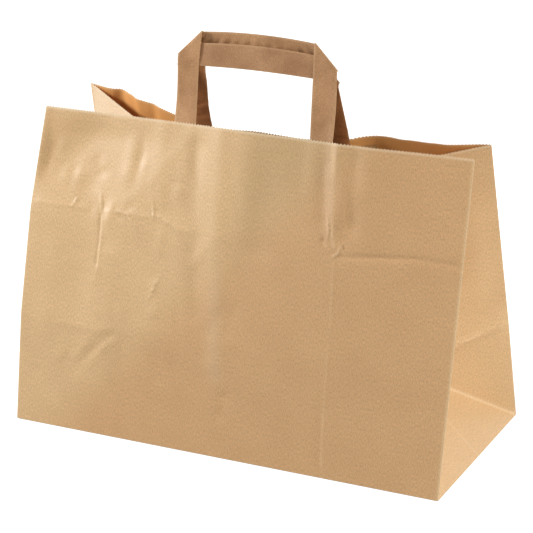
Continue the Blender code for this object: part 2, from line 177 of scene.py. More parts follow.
def gusset_shape(side):
    """Outer face of a side, from its front edge to its back edge: u by height by three."""
    column = 0 if side == LEFT else -1
    edges = {face: panels[face][column] for face in (FRONT, BACK)}
    sink, lift = HALF_DEPTH * math.sin(GUSSET_FOLD_ANGLE), HALF_DEPTH * math.cos(GUSSET_FOLD_ANGLE)
    apex = np.array([side * (HALF_WIDTH - sink), 0.0, SHEET_LEVEL + lift])
    valley = sphere_meeting(edges[FRONT][-1], edges[BACK][-1], apex, HALF_DEPTH,
                            SHEET_HEIGHT - HALF_DEPTH, np.array([-side, 0.0, 0.0]))
    upper = np.clip((HEIGHTS - HALF_DEPTH) / (SHEET_HEIGHT - HALF_DEPTH), 0.0, 1.0)[:, None]
    lower = np.clip(HEIGHTS / HALF_DEPTH, 0.0, 1.0)[:, None]
    crease = {face: mix(mix(edges[face][0], apex, lower), valley, upper) for face in edges}
    fold = np.maximum(np.minimum(HEIGHTS, HALF_DEPTH), 1e-9)
    u = np.linspace(0.0, BAG_DEPTH, round(BAG_DEPTH / FINE) + 1)[:, None]
    ahead = mix(edges[FRONT], crease[FRONT], np.minimum(u / fold, 1.0)[:, :, None])
    behind = mix(edges[BACK], crease[BACK], np.minimum((BAG_DEPTH - u) / fold, 1.0)[:, :, None])
    open_width = np.maximum(BAG_DEPTH - 2 * fold, 1e-9)
    across = np.clip((u - fold) / open_width, 0.0, 1.0)
    shape = mix(crease[FRONT], crease[BACK], across[:, :, None])
    shape = np.where((u < fold)[:, :, None], ahead, shape)
    return np.where((BAG_DEPTH - u < fold)[:, :, None], behind, shape)


gussets = {side: gusset_shape(side) for side in (LEFT, RIGHT)}
print("right pleat reaches in to x = %.0f mm at the top" % (gussets[RIGHT][:, -1, 0].min() / MM))

# %% [markdown]
# ## Creases and swells
# Paper remembers every bend. A stroke is a line drawn on the flat sheet, with a width and a
# height to which it stands out (or sinks in). The list holds the packing crease, the bends
# that the stiff handle ends press into the front, the crumple below the right handle end and
# the small dents. Each row is (points in mm on the sheet, width, height, wear). The many
# faint dents of the left half follow no rule, so a seeded random draw places them.

# %% Strokes on the front panel
FRONT_STROKES = [
    ([(-200, 172), (-139, 172), (-119, 171)], 1.9, 0.60, 0.0),
    ([(-116, 171), (-92, 173), (-65, 172), (-34, 163)], 1.9, 0.42, 0.0),
    ([(75, 164), (95, 165.5), (121, 168), (142, 170), (200, 168)], 1.9, -0.90, 0.0),
    ([(-140, 171), (-136, 180)], 1.2, 0.60, 0.1),
    ([(-118, 186), (-115, 176), (-114, 168)], 1.1, 0.50, 0.10),
    ([(-115, 174), (-113.5, 150), (-114, 122)], 1.3, -0.40, 0.0),
    ([(-113, 176), (-111.5, 150), (-112, 122)], 1.1, 0.40, 0.1),
    ([(-102, 173), (-91, 172), (-84, 164), (-78, 155)], 1.2, 0.62, 0.1),
    ([(-103, 170), (-92, 169), (-87, 162)], 2.0, -0.45, 0.0),
    ([(-71, 184), (-68, 170)], 1.1, 0.77, 0.25),
    ([(-71, 175), (-62, 173)], 1.1, 0.59, 0.1),
    ([(-62, 173), (-50, 168), (-42, 160)], 1.4, 0.59, 0.05),
    ([(-57, 134), (-63, 120), (-70, 104)], 1.4, 0.42, 0.05),
    ([(-84, 84), (-69, 74)], 1.6, 0.42, 0.05),
    ([(-88, 86), (-105, 72), (-122, 52)], 3.5, -0.90, 0.0),
    ([(-84, 82), (-101, 69), (-117, 50)], 2.2, 0.52, 0.0),
    ([(-148, 82), (-116, 81), (-84, 84)], 2.2, 0.60, 0.0),
    ([(-141, 176), (-138, 206)], 5.0, 0.65, 0.0),
    ([(-127, 180), (-124, 210)], 7.0, -0.50, 0.0),
    ([(-95, 236), (-97, 190)], 5.0, 0.60, 0.0),
    ([(-86, 236), (-89, 192)], 3.2, -0.85, 0.0),
    ([(-70, 266), (-66, 176)], 8.0, 1.15, 0.0),
    ([(-42, 240), (-34, 160), (-27, 96)], 7.5, -1.60, 0.0),
    ([(-20, 262), (-17, 205), (-8, 60)], 7.5, 1.65, 0.0),
    ([(20, 236), (24, 150)], 14.0, -0.76, 0.0),
    ([(-104, 150), (-98, 60)], 12.0, 1.14, 0.0),
    ([(-128, 130), (-126, 40)], 10.0, -0.85, 0.0),
    ([(-150, 150), (-152, 60)], 9.0, 0.66, 0.0),
    ([(64, 262), (66, 230), (68, 180)], 5.0, -1.10, 0.0),
    ([(75, 262), (77, 230), (80, 180)], 3.4, 2.20, 0.0),
    ([(70, 232), (75, 184)], 2.4, 0.68, 0.0),
    ([(81, 236), (85, 186)], 1.9, 1.10, 0.0),
    ([(89, 262), (90, 230), (92, 176)], 6.0, -2.09, 0.0),
    ([(102, 244), (100, 200)], 6.0, 0.57, 0.0),
    ([(73, 192), (75, 182), (74, 175)], 1.2, 0.77, 0.15),
    ([(78, 185), (79, 176), (82, 167)], 1.3, 0.85, 0.25),
    ([(86, 175), (83, 166), (77, 162)], 1.2, 0.77, 0.25),
    ([(70, 178), (72, 170)], 1.6, -1.02, 0.0),
    ([(86, 180), (88, 168)], 2.0, -0.90, 0.0),
    ([(81, 163), (82, 128), (83, 104)], 1.2, 0.51, 0.1),
    ([(153, 207), (159, 194)], 1.4, 0.51, 0.0),
    ([(82, 104), (82, 66), (83, 20)], 1.3, 0.35, 0.10),
    ([(83, 30), (84, 10), (86, -10)], 1.6, 0.70, 0.12),
    ([(79, 60), (81, -10)], 3.0, -0.52, 0.0),
]
chance = np.random.default_rng(12)
for _ in range(46):
    x, s = chance.uniform(-165, 10), chance.uniform(25, 225)
    lean, length = chance.normal(0.0, 0.35), chance.uniform(8, 38)
    end = (x + length * math.sin(lean), s - length * math.cos(lean))
    height = chance.choice([-1, 1]) * chance.uniform(0.32, 0.72)
    FRONT_STROKES.append(([(x, s), end], chance.uniform(2.2, 5.0), height, 0.0))
print(len(FRONT_STROKES), "strokes on the front panel")

# %% Strokes on the other panels
BACK_STROKES = [
    ([(-175, 168), (-60, 166), (60, 168), (175, 167)], 3.0, 0.30, 0.15),
    ([(-175, 85), (175, 85)], 2.5, 0.35, 0.25),
    ([(96, 240), (84, 178)], 7.0, 0.60, 0.0),
    ([(-84, 236), (-96, 168)], 6.0, -0.60, 0.0),
    ([(20, 210), (6, 96)], 11.0, 0.60, 0.0),
    ([(-110, 166), (-102, 118)], 1.8, 0.28, 0.3),
    ([(118, 167), (112, 138)], 1.8, 0.28, 0.3),
    ([(-142, 270), (-148, 196)], 6.0, 1.6, 0.0),
    ([(-124, 270), (-122, 190)], 5.0, -1.8, 0.0),
    ([(-106, 270), (-110, 196)], 5.0, 1.6, 0.0),
    ([(104, 270), (110, 190)], 7.0, -1.2, 0.0),
    ([(136, 270), (130, 196)], 6.0, 1.2, 0.0),
]
GUSSET_STROKES = [
    ([(-20, 87), (85, 87)], 2.6, 1.30, 0.0),
    ([(85, 87), (190, 87)], 2.6, 1.50, 0.0),
    ([(-20, 90), (190, 90)], 14.0, 1.20, 0.0),
    ([(130, 240), (128, 96)], 11.0, -1.3, 0.0),
    ([(152, 200), (150, 110)], 8.0, 0.6, 0.0),
    ([(40, 240), (42, 100)], 12.0, 1.2, 0.0),
    ([(14, 230), (20, 120)], 9.0, -0.8, 0.0),
]
print(len(BACK_STROKES), "strokes on the back,", len(GUSSET_STROKES), "on each side")

# %% [markdown]
# The height of a stroke falls off like a bell to both sides of its line, so strokes add up
# without steps. The stiff tape and the patch that covers it also print through the panel as
# two low plateaus, and a soft diagonal valley cuts off the top left corner, which has been
# turned forward. The handles' sizes stand here because the print needs them first. A leg
# leans sideways by one length at its glued foot and by another at its head.

# %% Sizes of the handles and patches
HANDLE_WIDTH = 0.131
TAPE_WIDTH = 0.0184
CROSSBAR_WIDTH = 0.0178
HANDLE_LENGTH = 0.1115
HANDLE_RISE = {FRONT: 0.0695, BACK: 0.077}
HANDLE_SHIFT = {FRONT: 0.0055, BACK: 0.004}
PATCH_WIDTH = 0.164
PATCH_HEIGHT = 0.045
PATCH_DROP = 0.007
LEG_LEAN = {
    FRONT: {LEFT: (-0.0020, 0.0026), RIGHT: (-0.0004, -0.0022)},
    BACK: {LEFT: (-0.0014, 0.0031), RIGHT: (-0.0018, 0.0020)},
}


def leg_edges(face, side):
    """Outer and inner edge of a handle leg where it is glued to the panel."""
    outer = HANDLE_SHIFT[face] + side * HANDLE_WIDTH / 2 + LEG_LEAN[face][side][0]
    return outer, outer - side * TAPE_WIDTH


print("front left leg is glued from x = %.1f to %.1f mm" % tuple(
    edge / MM for edge in leg_edges(FRONT, LEFT)))

# %% Height of the strokes
STROKE_FADE = 12.0


def nearest_on_stroke(points, u, s):
    """Distance in metres from the flat places to a drawn line, and how far along it they lie."""
    points = np.array(points, dtype=float) * MM
    lengths = np.linalg.norm(np.diff(points, axis=0), axis=1)
    nearest = np.full(np.broadcast(u, s).shape, 9.0)
    share = np.zeros(nearest.shape)
    for index, (start, line) in enumerate(zip(points, np.diff(points, axis=0))):
        along = ((u - start[0]) * line[0] + (s - start[1]) * line[1]) / line.dot(line)
        along = np.clip(along, 0.0, 1.0)
        gap = np.hypot(u - start[0] - line[0] * along, s - start[1] - line[1] * along)
        place = (lengths[:index].sum() + along * lengths[index]) / lengths.sum()
        share = np.where(gap < nearest, place, share)
        nearest = np.minimum(nearest, gap)
    return nearest, share


def strokes_relief(strokes, u, s):
    """Sum of all strokes, each fading out towards its ends and uneven along its way."""
    total = np.zeros(np.broadcast(u, s).shape)
    for number, (points, width, height, _) in enumerate(strokes):
        gap, share = nearest_on_stroke(points, u, s)
        line = np.diff(np.array(points, dtype=float), axis=0)
        soft = min(0.3, STROKE_FADE / np.hypot(line[:, 0], line[:, 1]).sum())
        fade = ease(share, -0.2 * soft, soft) * ease(1.0 - share, -0.2 * soft, soft)
        uneven = 0.8 + 0.2 * np.sin(share * 11.0 + number * 2.3)
        total += height * MM * fade * uneven * np.exp(-(gap / (width * MM)) ** 2)
    return total


print("strokes fade over their last", STROKE_FADE, "mm")

# %% Print of the legs and the patch
LEG_PRINT, LEG_PRINT_EDGE = 0.35 * MM, 2.2 * MM
PATCH_PRINT, PATCH_PRINT_EDGE = 0.12 * MM, 1.8 * MM


def plateau(u, s, box, edge):
    """One inside the box and zero outside it, with a soft edge."""
    low, high, bottom, top = box
    across = ease(u, low - edge, low + edge) * (1.0 - ease(u, high - edge, high + edge))
    return across * ease(s, bottom - edge, bottom + edge) * (1.0 - ease(s, top, top + 2 * edge))


def handle_relief(face, x, s):
    """What the legs and the patch inside press through to the outer face."""
    end = SHEET_HEIGHT - HANDLE_LENGTH + HANDLE_RISE[face]
    middle = HANDLE_SHIFT[face]
    total = np.zeros(np.broadcast(x, s).shape)
    for side in (LEFT, RIGHT):
        low, high = sorted(leg_edges(face, side))
        total += LEG_PRINT * plateau(x, s, (low, high, end, 1.0), LEG_PRINT_EDGE)
    low, high = middle - PATCH_WIDTH / 2, middle + PATCH_WIDTH / 2
    top = SHEET_HEIGHT - PATCH_DROP
    patch = (low, high, top - PATCH_HEIGHT, top)
    return total + PATCH_PRINT * plateau(x, s, patch, PATCH_PRINT_EDGE)


print("a leg prints through by", LEG_PRINT / MM, "mm")

# %% Swells and the turned corner
CORNER_BEND_START = np.array([-0.175, 0.176])
CORNER_BEND_WAY = unit(np.array([0.057, 0.069]))
CORNER_DEPTH = 5.6 * MM
CORNER_ROUNDING = 0.004
REACH_TO_CORNER, REACH_TO_PANEL = 0.044, 0.062


def swell(u, s, seed):
    """Slow unevenness of a sheet that has been folded flat and opened."""
    chance = np.random.default_rng(seed)
    total = np.zeros(np.broadcast(u, s).shape)
    for _ in range(9):
        long, tall = chance.uniform(0.06, 0.16), chance.uniform(0.12, 0.30)
        start = chance.uniform(0.0, 2.0 * math.pi)
        total += np.sin(2.0 * math.pi * (u / long + s / tall * chance.choice([-1, 1])) + start)
    return total / 9.0


def corner_valley(x, s):
    """Soft diagonal valley that cuts off the top left corner of the front panel."""
    right, up = x - CORNER_BEND_START[0], s - CORNER_BEND_START[1]
    beyond = up * CORNER_BEND_WAY[0] - right * CORNER_BEND_WAY[1]
    along = right * CORNER_BEND_WAY[0] + up * CORNER_BEND_WAY[1]
    reach = np.where(beyond > 0, REACH_TO_CORNER, REACH_TO_PANEL)
    share = np.clip(1.0 - np.sqrt(beyond ** 2 + CORNER_ROUNDING ** 2) / reach, 0.0, 1.0)
    shallower = 1.0 - 0.6 * ease(s, 0.225, SHEET_HEIGHT)
    return -CORNER_DEPTH * share * ease(along, 0.002, 0.040) * shallower


print("the valley of the corner is %.1f mm deep" % (CORNER_DEPTH / MM))

# %% Move a wall along its normals
STIFF_BESIDE_FOLD = 0.008
STIFF_ABOVE_BASE = 0.012
STIFF_BESIDE_CREASE = 0.006


def outward_normals(shape, outward):
    """Unit normals of a table of points, turned to the side that outward names."""
    along = np.gradient(shape, axis=0)
    rise = np.gradient(shape, axis=1)
    normals = np.cross(along, rise)
    normals /= np.maximum(np.linalg.norm(normals, axis=2, keepdims=True), 1e-12)
    return normals * np.where((normals * outward).sum(axis=2, keepdims=True) < 0, -1.0, 1.0)


def add_relief(shape, outward, relief, fold_rows):
    """Moves a shape along its normals, with nothing moved at its upright folds or the base."""
    u = np.linspace(0.0, 1.0, shape.shape[0])[:, None] * (shape.shape[0] - 1) * FINE
    width = (shape.shape[0] - 1) * FINE
    hold = ease(u, 0.0, STIFF_BESIDE_FOLD) * ease(width - u, 0.0, STIFF_BESIDE_FOLD)
    hold = hold * ease(HEIGHTS[None, :], 0.0, STIFF_ABOVE_BASE)
    if fold_rows:
        fold = np.minimum(HEIGHTS, HALF_DEPTH)[None, :]
        for crease in (fold, BAG_DEPTH - fold):
            hold = hold * ease(np.abs(u - crease), 0.0, STIFF_BESIDE_CREASE)
    return shape + outward_normals(shape, outward) * (relief * hold)[:, :, None]


print("paper stays stiff for %.0f mm beside a fold" % (STIFF_BESIDE_FOLD / MM))

# %% Put the relief on the four walls
PANEL_SWELL, GUSSET_SWELL = 0.9 * MM, 0.6 * MM
for face, strokes, seed in ((FRONT, FRONT_STROKES, 3), (BACK, BACK_STROKES, 8)):
    x, s = PANEL_X[:, None], HEIGHTS[None, :]
    relief = strokes_relief(strokes, x, s) + handle_relief(face, x, s)
    relief = relief + PANEL_SWELL * swell(x, s, seed) * ease(s, 0.0, 0.12)
    if face == FRONT:
        relief = relief + corner_valley(x, s)
    panels[face] = add_relief(panels[face], np.array([0.0, face, 0.0]), relief, False)
for side in (LEFT, RIGHT):
    u = np.linspace(0.0, BAG_DEPTH, round(BAG_DEPTH / FINE) + 1)[:, None]
    relief = strokes_relief(GUSSET_STROKES, u, s) + GUSSET_SWELL * swell(u, s, 20 + side)
    gussets[side] = add_relief(gussets[side], np.array([side, 0.0, 0.02]), relief, True)
print("four walls creased, the front one over", panels[FRONT].shape, "points")

# %% [markdown]
# ## The blank
# A grid primitive is the flat sheet: 2.5 mm squares, because all the fold lines of this bag
# fall on that step. On the plain back panel every second row of edges is taken out again,
# which keeps the mesh light. Narrow strips beside each fold keep the folds crisp when the
# shading is smooth, and the squares around small creases are divided once or twice more.

# %% Helpers for flat blanks
def make_only_active(piece):
    bpy.ops.object.select_all(action="DESELECT")
    piece.select_set(True)
    bpy.context.view_layer.objects.active = piece


def add_grid(name, across, along, width, height):
    """Flat grid from (0, 0) to (width, height), made active with nothing else selected."""
    bpy.ops.object.select_all(action="DESELECT")
    bpy.ops.mesh.primitive_grid_add(
        x_subdivisions=across, y_subdivisions=along, size=1.0, calc_uvs=True)
    piece = bpy.context.object
    piece.name = name
    piece.data.name = name
    points = read_points(piece.data)
    points[:, 0] = (points[:, 0] + 0.5) * width
    points[:, 1] = (points[:, 1] + 0.5) * height
    write_points(piece.data, points)
    return piece


def read_points(mesh):
    values = np.empty(len(mesh.vertices) * 3)
    mesh.vertices.foreach_get("co", values)
    return values.reshape(-1, 3)


def write_points(mesh, points):
    mesh.vertices.foreach_set("co", np.ascontiguousarray(points, dtype=float).ravel())
    mesh.update()


def face_centres(mesh):
    values = np.empty(len(mesh.polygons) * 3)
    mesh.polygons.foreach_get("center", values)
    return values.reshape(-1, 3)


print("a blank is drawn by add_grid, and its points are read and written as one array")

# %% Helpers for edit mode
def select(piece, kind, wanted):
    """Selects vertices, edges or faces by a list of true and false, and stays in edit mode."""
    make_only_active(piece)
    bpy.ops.object.mode_set(mode="EDIT")
    bpy.ops.mesh.select_mode(type=kind)
    bpy.ops.mesh.select_all(action="DESELECT")
    bpy.ops.object.mode_set(mode="OBJECT")
    mesh = piece.data
    elements = {"VERT": mesh.vertices, "EDGE": mesh.edges, "FACE": mesh.polygons}[kind]
    elements.foreach_set("select", np.asarray(wanted, dtype=bool))
    bpy.ops.object.mode_set(mode="EDIT")


def cut_across(piece, place, direction):
    """Bisects the whole flat sheet along one straight line."""
    make_only_active(piece)
    bpy.ops.object.mode_set(mode="EDIT")
    bpy.ops.mesh.select_all(action="SELECT")
    bpy.ops.mesh.bisect(plane_co=place, plane_no=direction)
    bpy.ops.object.mode_set(mode="OBJECT")


print("elements are selected by their place, one kind at a time")

# %% Draw the flat sheet
GRID = 0.0025
TOOTH = 0.0011
FEET_LINE = SHEET_HEIGHT - TOOTH / 3
RIM_STRIP = 2.2 * MM
FOLD_STRIP = 0.0004
UPRIGHT_FOLDS = np.cumsum(
    [0.0, BAG_WIDTH, HALF_DEPTH, HALF_DEPTH, BAG_WIDTH, HALF_DEPTH, HALF_DEPTH])
bag = add_grid("bag_sheet", round(TURN / GRID), round(SHEET_HEIGHT / GRID), TURN, SHEET_HEIGHT)
points = read_points(bag.data)
points[points[:, 1] > SHEET_HEIGHT - GRID / 2, 1] = FEET_LINE
write_points(bag.data, points)
print(len(bag.data.polygons), "squares in the full grid")

# %% Thin out the back and cut the strips
ends = np.empty(len(bag.data.edges) * 2, dtype=int)
bag.data.edges.foreach_get("vertices", ends)
first, second = points[ends.reshape(-1, 2)].transpose(1, 0, 2)
level = np.abs(first[:, 1] - second[:, 1]) < 1e-6
odd_row = np.rint(first[:, 1] / GRID).astype(int) % 2 == 1
middle = (first[:, 0] + second[:, 0]) / 2
at_back = (middle > UPRIGHT_FOLDS[3]) & (middle < UPRIGHT_FOLDS[4])
select(bag, "EDGE", level & odd_row & at_back)
bpy.ops.mesh.dissolve_edges(use_verts=True)
bpy.ops.object.mode_set(mode="OBJECT")
for fold in UPRIGHT_FOLDS:
    for place in (fold - FOLD_STRIP, fold + FOLD_STRIP):
        if 0.0 < place < TURN:
            cut_across(bag, (place, 0.0, 0.0), (1.0, 0.0, 0.0))
cut_across(bag, (0.0, SHEET_HEIGHT - RIM_STRIP, 0.0), (0.0, 1.0, 0.0))
print(len(bag.data.polygons), "squares in the blank")

# %% Divide the squares around small creases
SEAM_EDGE = UPRIGHT_FOLDS[4] - 0.022
SEAM_WIDTH = 0.015
SEAM_STRIP = 0.0001
NARROW_STROKES = ((1.95, 0.0026), (1.5, 0.0016))
divided = 0
for narrow, reach in NARROW_STROKES:
    near = np.zeros(len(bag.data.polygons), dtype=bool)
    centres = face_centres(bag.data)
    for points, width, _, _ in FRONT_STROKES:
        if width < narrow:
            gap, _ = nearest_on_stroke(points, centres[:, 0] - HALF_WIDTH, centres[:, 1])
            near |= gap < reach
    select(bag, "FACE", near & (centres[:, 0] < BAG_WIDTH))
    bpy.ops.mesh.subdivide(number_cuts=1)
    bpy.ops.object.mode_set(mode="OBJECT")
    divided += int(near.sum())
for place in (SEAM_EDGE - SEAM_STRIP, SEAM_EDGE + SEAM_STRIP):
    cut_across(bag, (place, 0.0, 0.0), (1.0, 0.0, 0.0))
print(divided, "squares divided,", len(bag.data.polygons), "faces")

# %% [markdown]
# The knife that cuts the tube has teeth, so the rim of the bag is a fine saw line. Each rim
# edge is divided once, and the new point in its middle is pushed up to make a tooth.

# %% Pink the rim
points = read_points(bag.data)
before = len(points)
select(bag, "VERT", points[:, 1] > FEET_LINE - 1e-6)
bpy.ops.mesh.select_mode(type="EDGE")
bpy.ops.mesh.subdivide(number_cuts=1)
bpy.ops.object.mode_set(mode="OBJECT")
points = read_points(bag.data)
tips = (np.arange(len(points)) >= before) & (points[:, 1] > FEET_LINE - 1e-6)
fold_gap = np.min(np.abs(points[:, :1] - UPRIGHT_FOLDS[None, :]), axis=1)
tips &= fold_gap > 1.5 * FOLD_STRIP
points[tips, 1] = FEET_LINE + TOOTH
write_points(bag.data, points)
print(int(tips.sum()), "teeth")

# %% Score the slanted creases of the bottom
points = read_points(bag.data)
on_crease = np.zeros(len(points), dtype=bool)
for start in (UPRIGHT_FOLDS[1], UPRIGHT_FOLDS[4]):
    u = points[:, 0] - start
    for along in (u, BAG_DEPTH - u):
        on_crease |= (np.abs(along - points[:, 1]) < 1e-5) & (along < HALF_DEPTH + 1e-5)
select(bag, "VERT", on_crease)
bpy.ops.mesh.vert_connect()
bpy.ops.object.mode_set(mode="OBJECT")
print(int(on_crease.sum()), "points along the slanted creases")

# %% [markdown]
# A sheet of paper carries its pattern with it when it folds. The UV map therefore keeps the
# flat place of each point in metres, and a second attribute says how close the point is to a
# fold, where the surface fibres are broken and look pale. The same attribute also carries a
# painted sheen: paler bands along two ridges of the front, where the glazed face catches the light.

# %% Record the flat places
def keep_flat_places(piece):
    mesh = piece.data
    layer = mesh.uv_layers.active or mesh.uv_layers.new(name="UVMap")
    layer.name = "flat_sheet"
    corners = np.empty(len(mesh.loops), dtype=int)
    mesh.loops.foreach_get("vertex_index", corners)
    flat = read_points(mesh)[corners, :2]
    layer.data.foreach_set("uv", flat.ravel())


keep_flat_places(bag)
print("flat places of", len(bag.data.loops), "corners kept")

# %% Record the worn folds and the painted sheen
OUTER_FOLDS = (UPRIGHT_FOLDS[0], UPRIGHT_FOLDS[1], UPRIGHT_FOLDS[6])
OUTER_FOLD_WEAR, PLEAT_WEAR, SLANT_WEAR, RIM_WEAR = 1.0, 0.55, 0.6, 0.7
WORN_LINE = 0.7 * MM
# Painted sheen: paler bands along the long ridge and along the right leg's print, where the glazed
# face catches the key light. Each row is (points in mm, width, strength).
SHEEN_PAINTED_RIDGES = [
    ([(-15, 170), (-11, 110), (-7, 62)], 6.0, 0.16),
    ([(70, 250), (75, 180)], 4.5, 0.12),
]


def keep_wear_and_sheen(piece, wear_and_sheen):
    layer = piece.data.attributes.new("fold_wear_and_sheen", "FLOAT", "POINT")
    layer.data.foreach_set("value", np.clip(wear_and_sheen, 0.0, 1.0))


points = read_points(bag.data)
u, s = points[:, 0], points[:, 1]
wear_and_sheen = np.maximum(SLANT_WEAR * on_crease, RIM_WEAR * (s > FEET_LINE - 1e-6))
for place in UPRIGHT_FOLDS:
    strength = OUTER_FOLD_WEAR if place in OUTER_FOLDS else PLEAT_WEAR
    wear_and_sheen = np.maximum(wear_and_sheen, strength * np.exp(-((u - place) / (0.7 * FOLD_STRIP)) ** 2))
for stroke, _, _, worn_and_sheen in FRONT_STROKES:
    gap, share = nearest_on_stroke(stroke, u - HALF_WIDTH, s)
    strength = worn_and_sheen * 4.0 * share * (1.0 - share)
    wear_and_sheen = np.maximum(wear_and_sheen, strength * np.exp(-(gap / WORN_LINE) ** 2))
# Painted sheen along the ridges, kept in the same attribute as the wear of the folds.
for stroke, width, worn_and_sheen in SHEEN_PAINTED_RIDGES:
    gap, share = nearest_on_stroke(stroke, u - HALF_WIDTH, s)
    strength = worn_and_sheen * ease(share, 0.0, 0.4)
    wear_and_sheen = np.maximum(wear_and_sheen, strength * np.exp(-(gap / (width * MM)) ** 2))
keep_wear_and_sheen(bag, wear_and_sheen)
print("worn points:", int((wear_and_sheen > 0.3).sum()))

# %% [markdown]
# ## Folding
# The four shapes are laid side by side into one table, in the order in which the sheet goes
# round the bag. Each point of the blank looks up its place there. The glued seam stands out
# by one thickness of paper at its edge. Then the two cut sides are welded and the bottom is
# closed with one face, which an inset and a fan of triangles keep flat and light.

# %% Fold the sheet
table = np.concatenate([
    panels[FRONT], gussets[RIGHT][1:], panels[BACK][::-1][1:], gussets[LEFT][::-1][1:]])


def look_up(values, column, row):
    """Value between the four nearest entries of a table."""
    left = np.clip(np.floor(column + 1e-6).astype(int), 0, values.shape[0] - 2)
    low = np.clip(np.floor(row + 1e-6).astype(int), 0, values.shape[1] - 2)
    across, up = (column - left)[:, None], (row - low)[:, None]
    bottom = mix(values[left, low], values[left + 1, low], across)
    top = mix(values[left, low + 1], values[left + 1, low + 1], across)
    return mix(bottom, top, up)


folded = look_up(table, u / FINE, s / FINE)
on_seam = (u > SEAM_EDGE) & (u < SEAM_EDGE + SEAM_WIDTH)
sunk = np.clip((u - SEAM_EDGE) / SEAM_WIDTH, 0.0, 1.0)
folded[:, 1] += np.where(on_seam, PAPER * (1.0 - sunk), 0.0)
write_points(bag.data, folded)
print("folded", len(folded), "points")

# %% Close the glued seam and the bottom
WELD_REACH = 0.02 * MM
BASE_MARGIN = 0.010
select(bag, "VERT", np.ones(len(bag.data.vertices)))
bpy.ops.mesh.remove_doubles(threshold=WELD_REACH)
bpy.ops.object.mode_set(mode="OBJECT")
points = read_points(bag.data)
select(bag, "VERT", points[:, 2] < SHEET_LEVEL + 1e-7)
bpy.ops.mesh.edge_face_add()
bpy.ops.mesh.inset(thickness=BASE_MARGIN)
bpy.ops.mesh.poke()
bpy.ops.mesh.select_all(action="SELECT")
bpy.ops.mesh.normals_make_consistent(inside=False)
bpy.ops.object.mode_set(mode="OBJECT")
print(len(bag.data.polygons), "faces with the bottom closed")

# %% [markdown]
# The paper is 0.2 mm thick. Solidify gives the sheet that thickness on its inner side, so
# the outer face stays where it was folded. The inner face gets the second material slot.

# %% Give the paper its thickness
def apply_modifier(piece, kind, **settings):
    make_only_active(piece)
    modifier = piece.modifiers.new(kind.title(), kind)
    for name, value in settings.items():
        setattr(modifier, name, value)
    bpy.ops.object.modifier_apply(modifier=modifier.name)


def shade(piece, degrees):
    """Smooth shading that stays sharp at bends of more than some degrees."""
    make_only_active(piece)
    bpy.ops.object.shade_smooth_by_angle(angle=math.radians(degrees))


bag.data.materials.append(bpy.data.materials.new("outer_place"))
bag.data.materials.append(bpy.data.materials.new("inner_place"))
apply_modifier(bag, "SOLIDIFY", thickness=PAPER, offset=-1.0, use_quality_normals=True,
               material_offset=1, material_offset_rim=0)
print(len(bag.data.polygons), "faces with thickness")

# %% [markdown]
# Seen from below, a block bottom shows two long flaps with slanted ends. The back one is
# folded in first and the front one is glued over it, and at each end a triangle of the side
# stays bare.

# %% Bottom flaps
FLAP_OVERLAP = 0.024
FLAP_SETBACK = 0.0005
FLAP_FOLD_WEAR, FLAP_EDGE_WEAR = 0.5, 0.35


def bottom_flap(face):
    """Ply under the base, drawn as a grid whose ends are then slanted."""
    level = PAPER if face == BACK else 0.0
    flap = add_grid("flap", 60, 16, 1.0, 1.0)
    points = read_points(flap.data)
    reach = mix(-FLAP_OVERLAP / 2, HALF_DEPTH - FLAP_SETBACK, points[:, 1])
    half = HALF_WIDTH - HALF_DEPTH + reach - FLAP_SETBACK
    x = mix(-half, half, points[:, 0])
    y = face * reach
    write_points(flap.data, np.stack([x, y, np.full(len(x), level)], axis=1))
    keep_flat_places(flap)
    keep_wear_and_sheen(flap, FLAP_FOLD_WEAR * (points[:, 1] > 0.99) + FLAP_EDGE_WEAR * (points[:, 1] < 0.01))
    select(flap, "VERT", np.ones(len(points)))
    bpy.ops.mesh.normals_make_consistent(inside=False)
    bpy.ops.object.mode_set(mode="OBJECT")
    if flap.data.polygons[0].normal.z > 0:
        flap.data.flip_normals()
    apply_modifier(flap, "SOLIDIFY", thickness=PAPER, offset=-1.0, use_even_offset=True)
    return flap


flaps = [bottom_flap(BACK), bottom_flap(FRONT)]
make_only_active(bag)
for flap in flaps:
    flap.select_set(True)
bpy.ops.object.join()
shade(bag, 35)
print("bag sheet:", sum(len(face.vertices) - 2 for face in bag.data.polygons), "triangles")

# %% [markdown]
# ## The handles
# Each handle is a flat tape of several plies of paper. It comes up one leg, folds over at 45
# degrees, crosses the hand grip and folds down again. So it is made as one long strip, a
# grid again, whose rows are walked along that path. The two grips lie in four layers: front
# leg, back crossbar, back leg, front crossbar. In the picture the legs also lean, one front
# corner is pinched narrow and one back leg bows, each by a few millimetres.

# %% Layers of the tape
TAPE = 0.0006
PLY_GAP = 0.0003
LAYER_PITCH = TAPE + PLY_GAP
TAPE_FROM_PANEL = PAPER + PLY_GAP + TAPE / 2
LEG_LAYER = {FRONT: 0, BACK: 2}
BAR_LAYER = {FRONT: 3, BACK: 1}
GRIP_LEAN = math.radians(7.5)
panel_normals = {face: outward_normals(panels[face], np.array([0.0, face, 0.0])) for face in panels}


def inside_panel(face, x, s, depth):
    """Points at a depth behind the outer face of a panel."""
    column, row = (np.asarray(x) + HALF_WIDTH) / FINE, np.asarray(s) / FINE
    column, row = np.broadcast_arrays(column, row)
    place = look_up(panels[face], column.ravel(), row.ravel())
    normal = look_up(panel_normals[face], column.ravel(), row.ravel())
    return place - unit(normal) * np.broadcast_to(depth, column.shape).ravel()[:, None]


GRIP_ORIGIN = inside_panel(FRONT, [HANDLE_SHIFT[FRONT]], [SHEET_HEIGHT], TAPE_FROM_PANEL)[0]
GRIP_UP = np.array([0.0, math.sin(GRIP_LEAN), math.cos(GRIP_LEAN)])
GRIP_BEHIND = np.array([0.0, GRIP_UP[2], -GRIP_UP[1]])
print("grips start at", np.round(GRIP_ORIGIN / MM, 1))

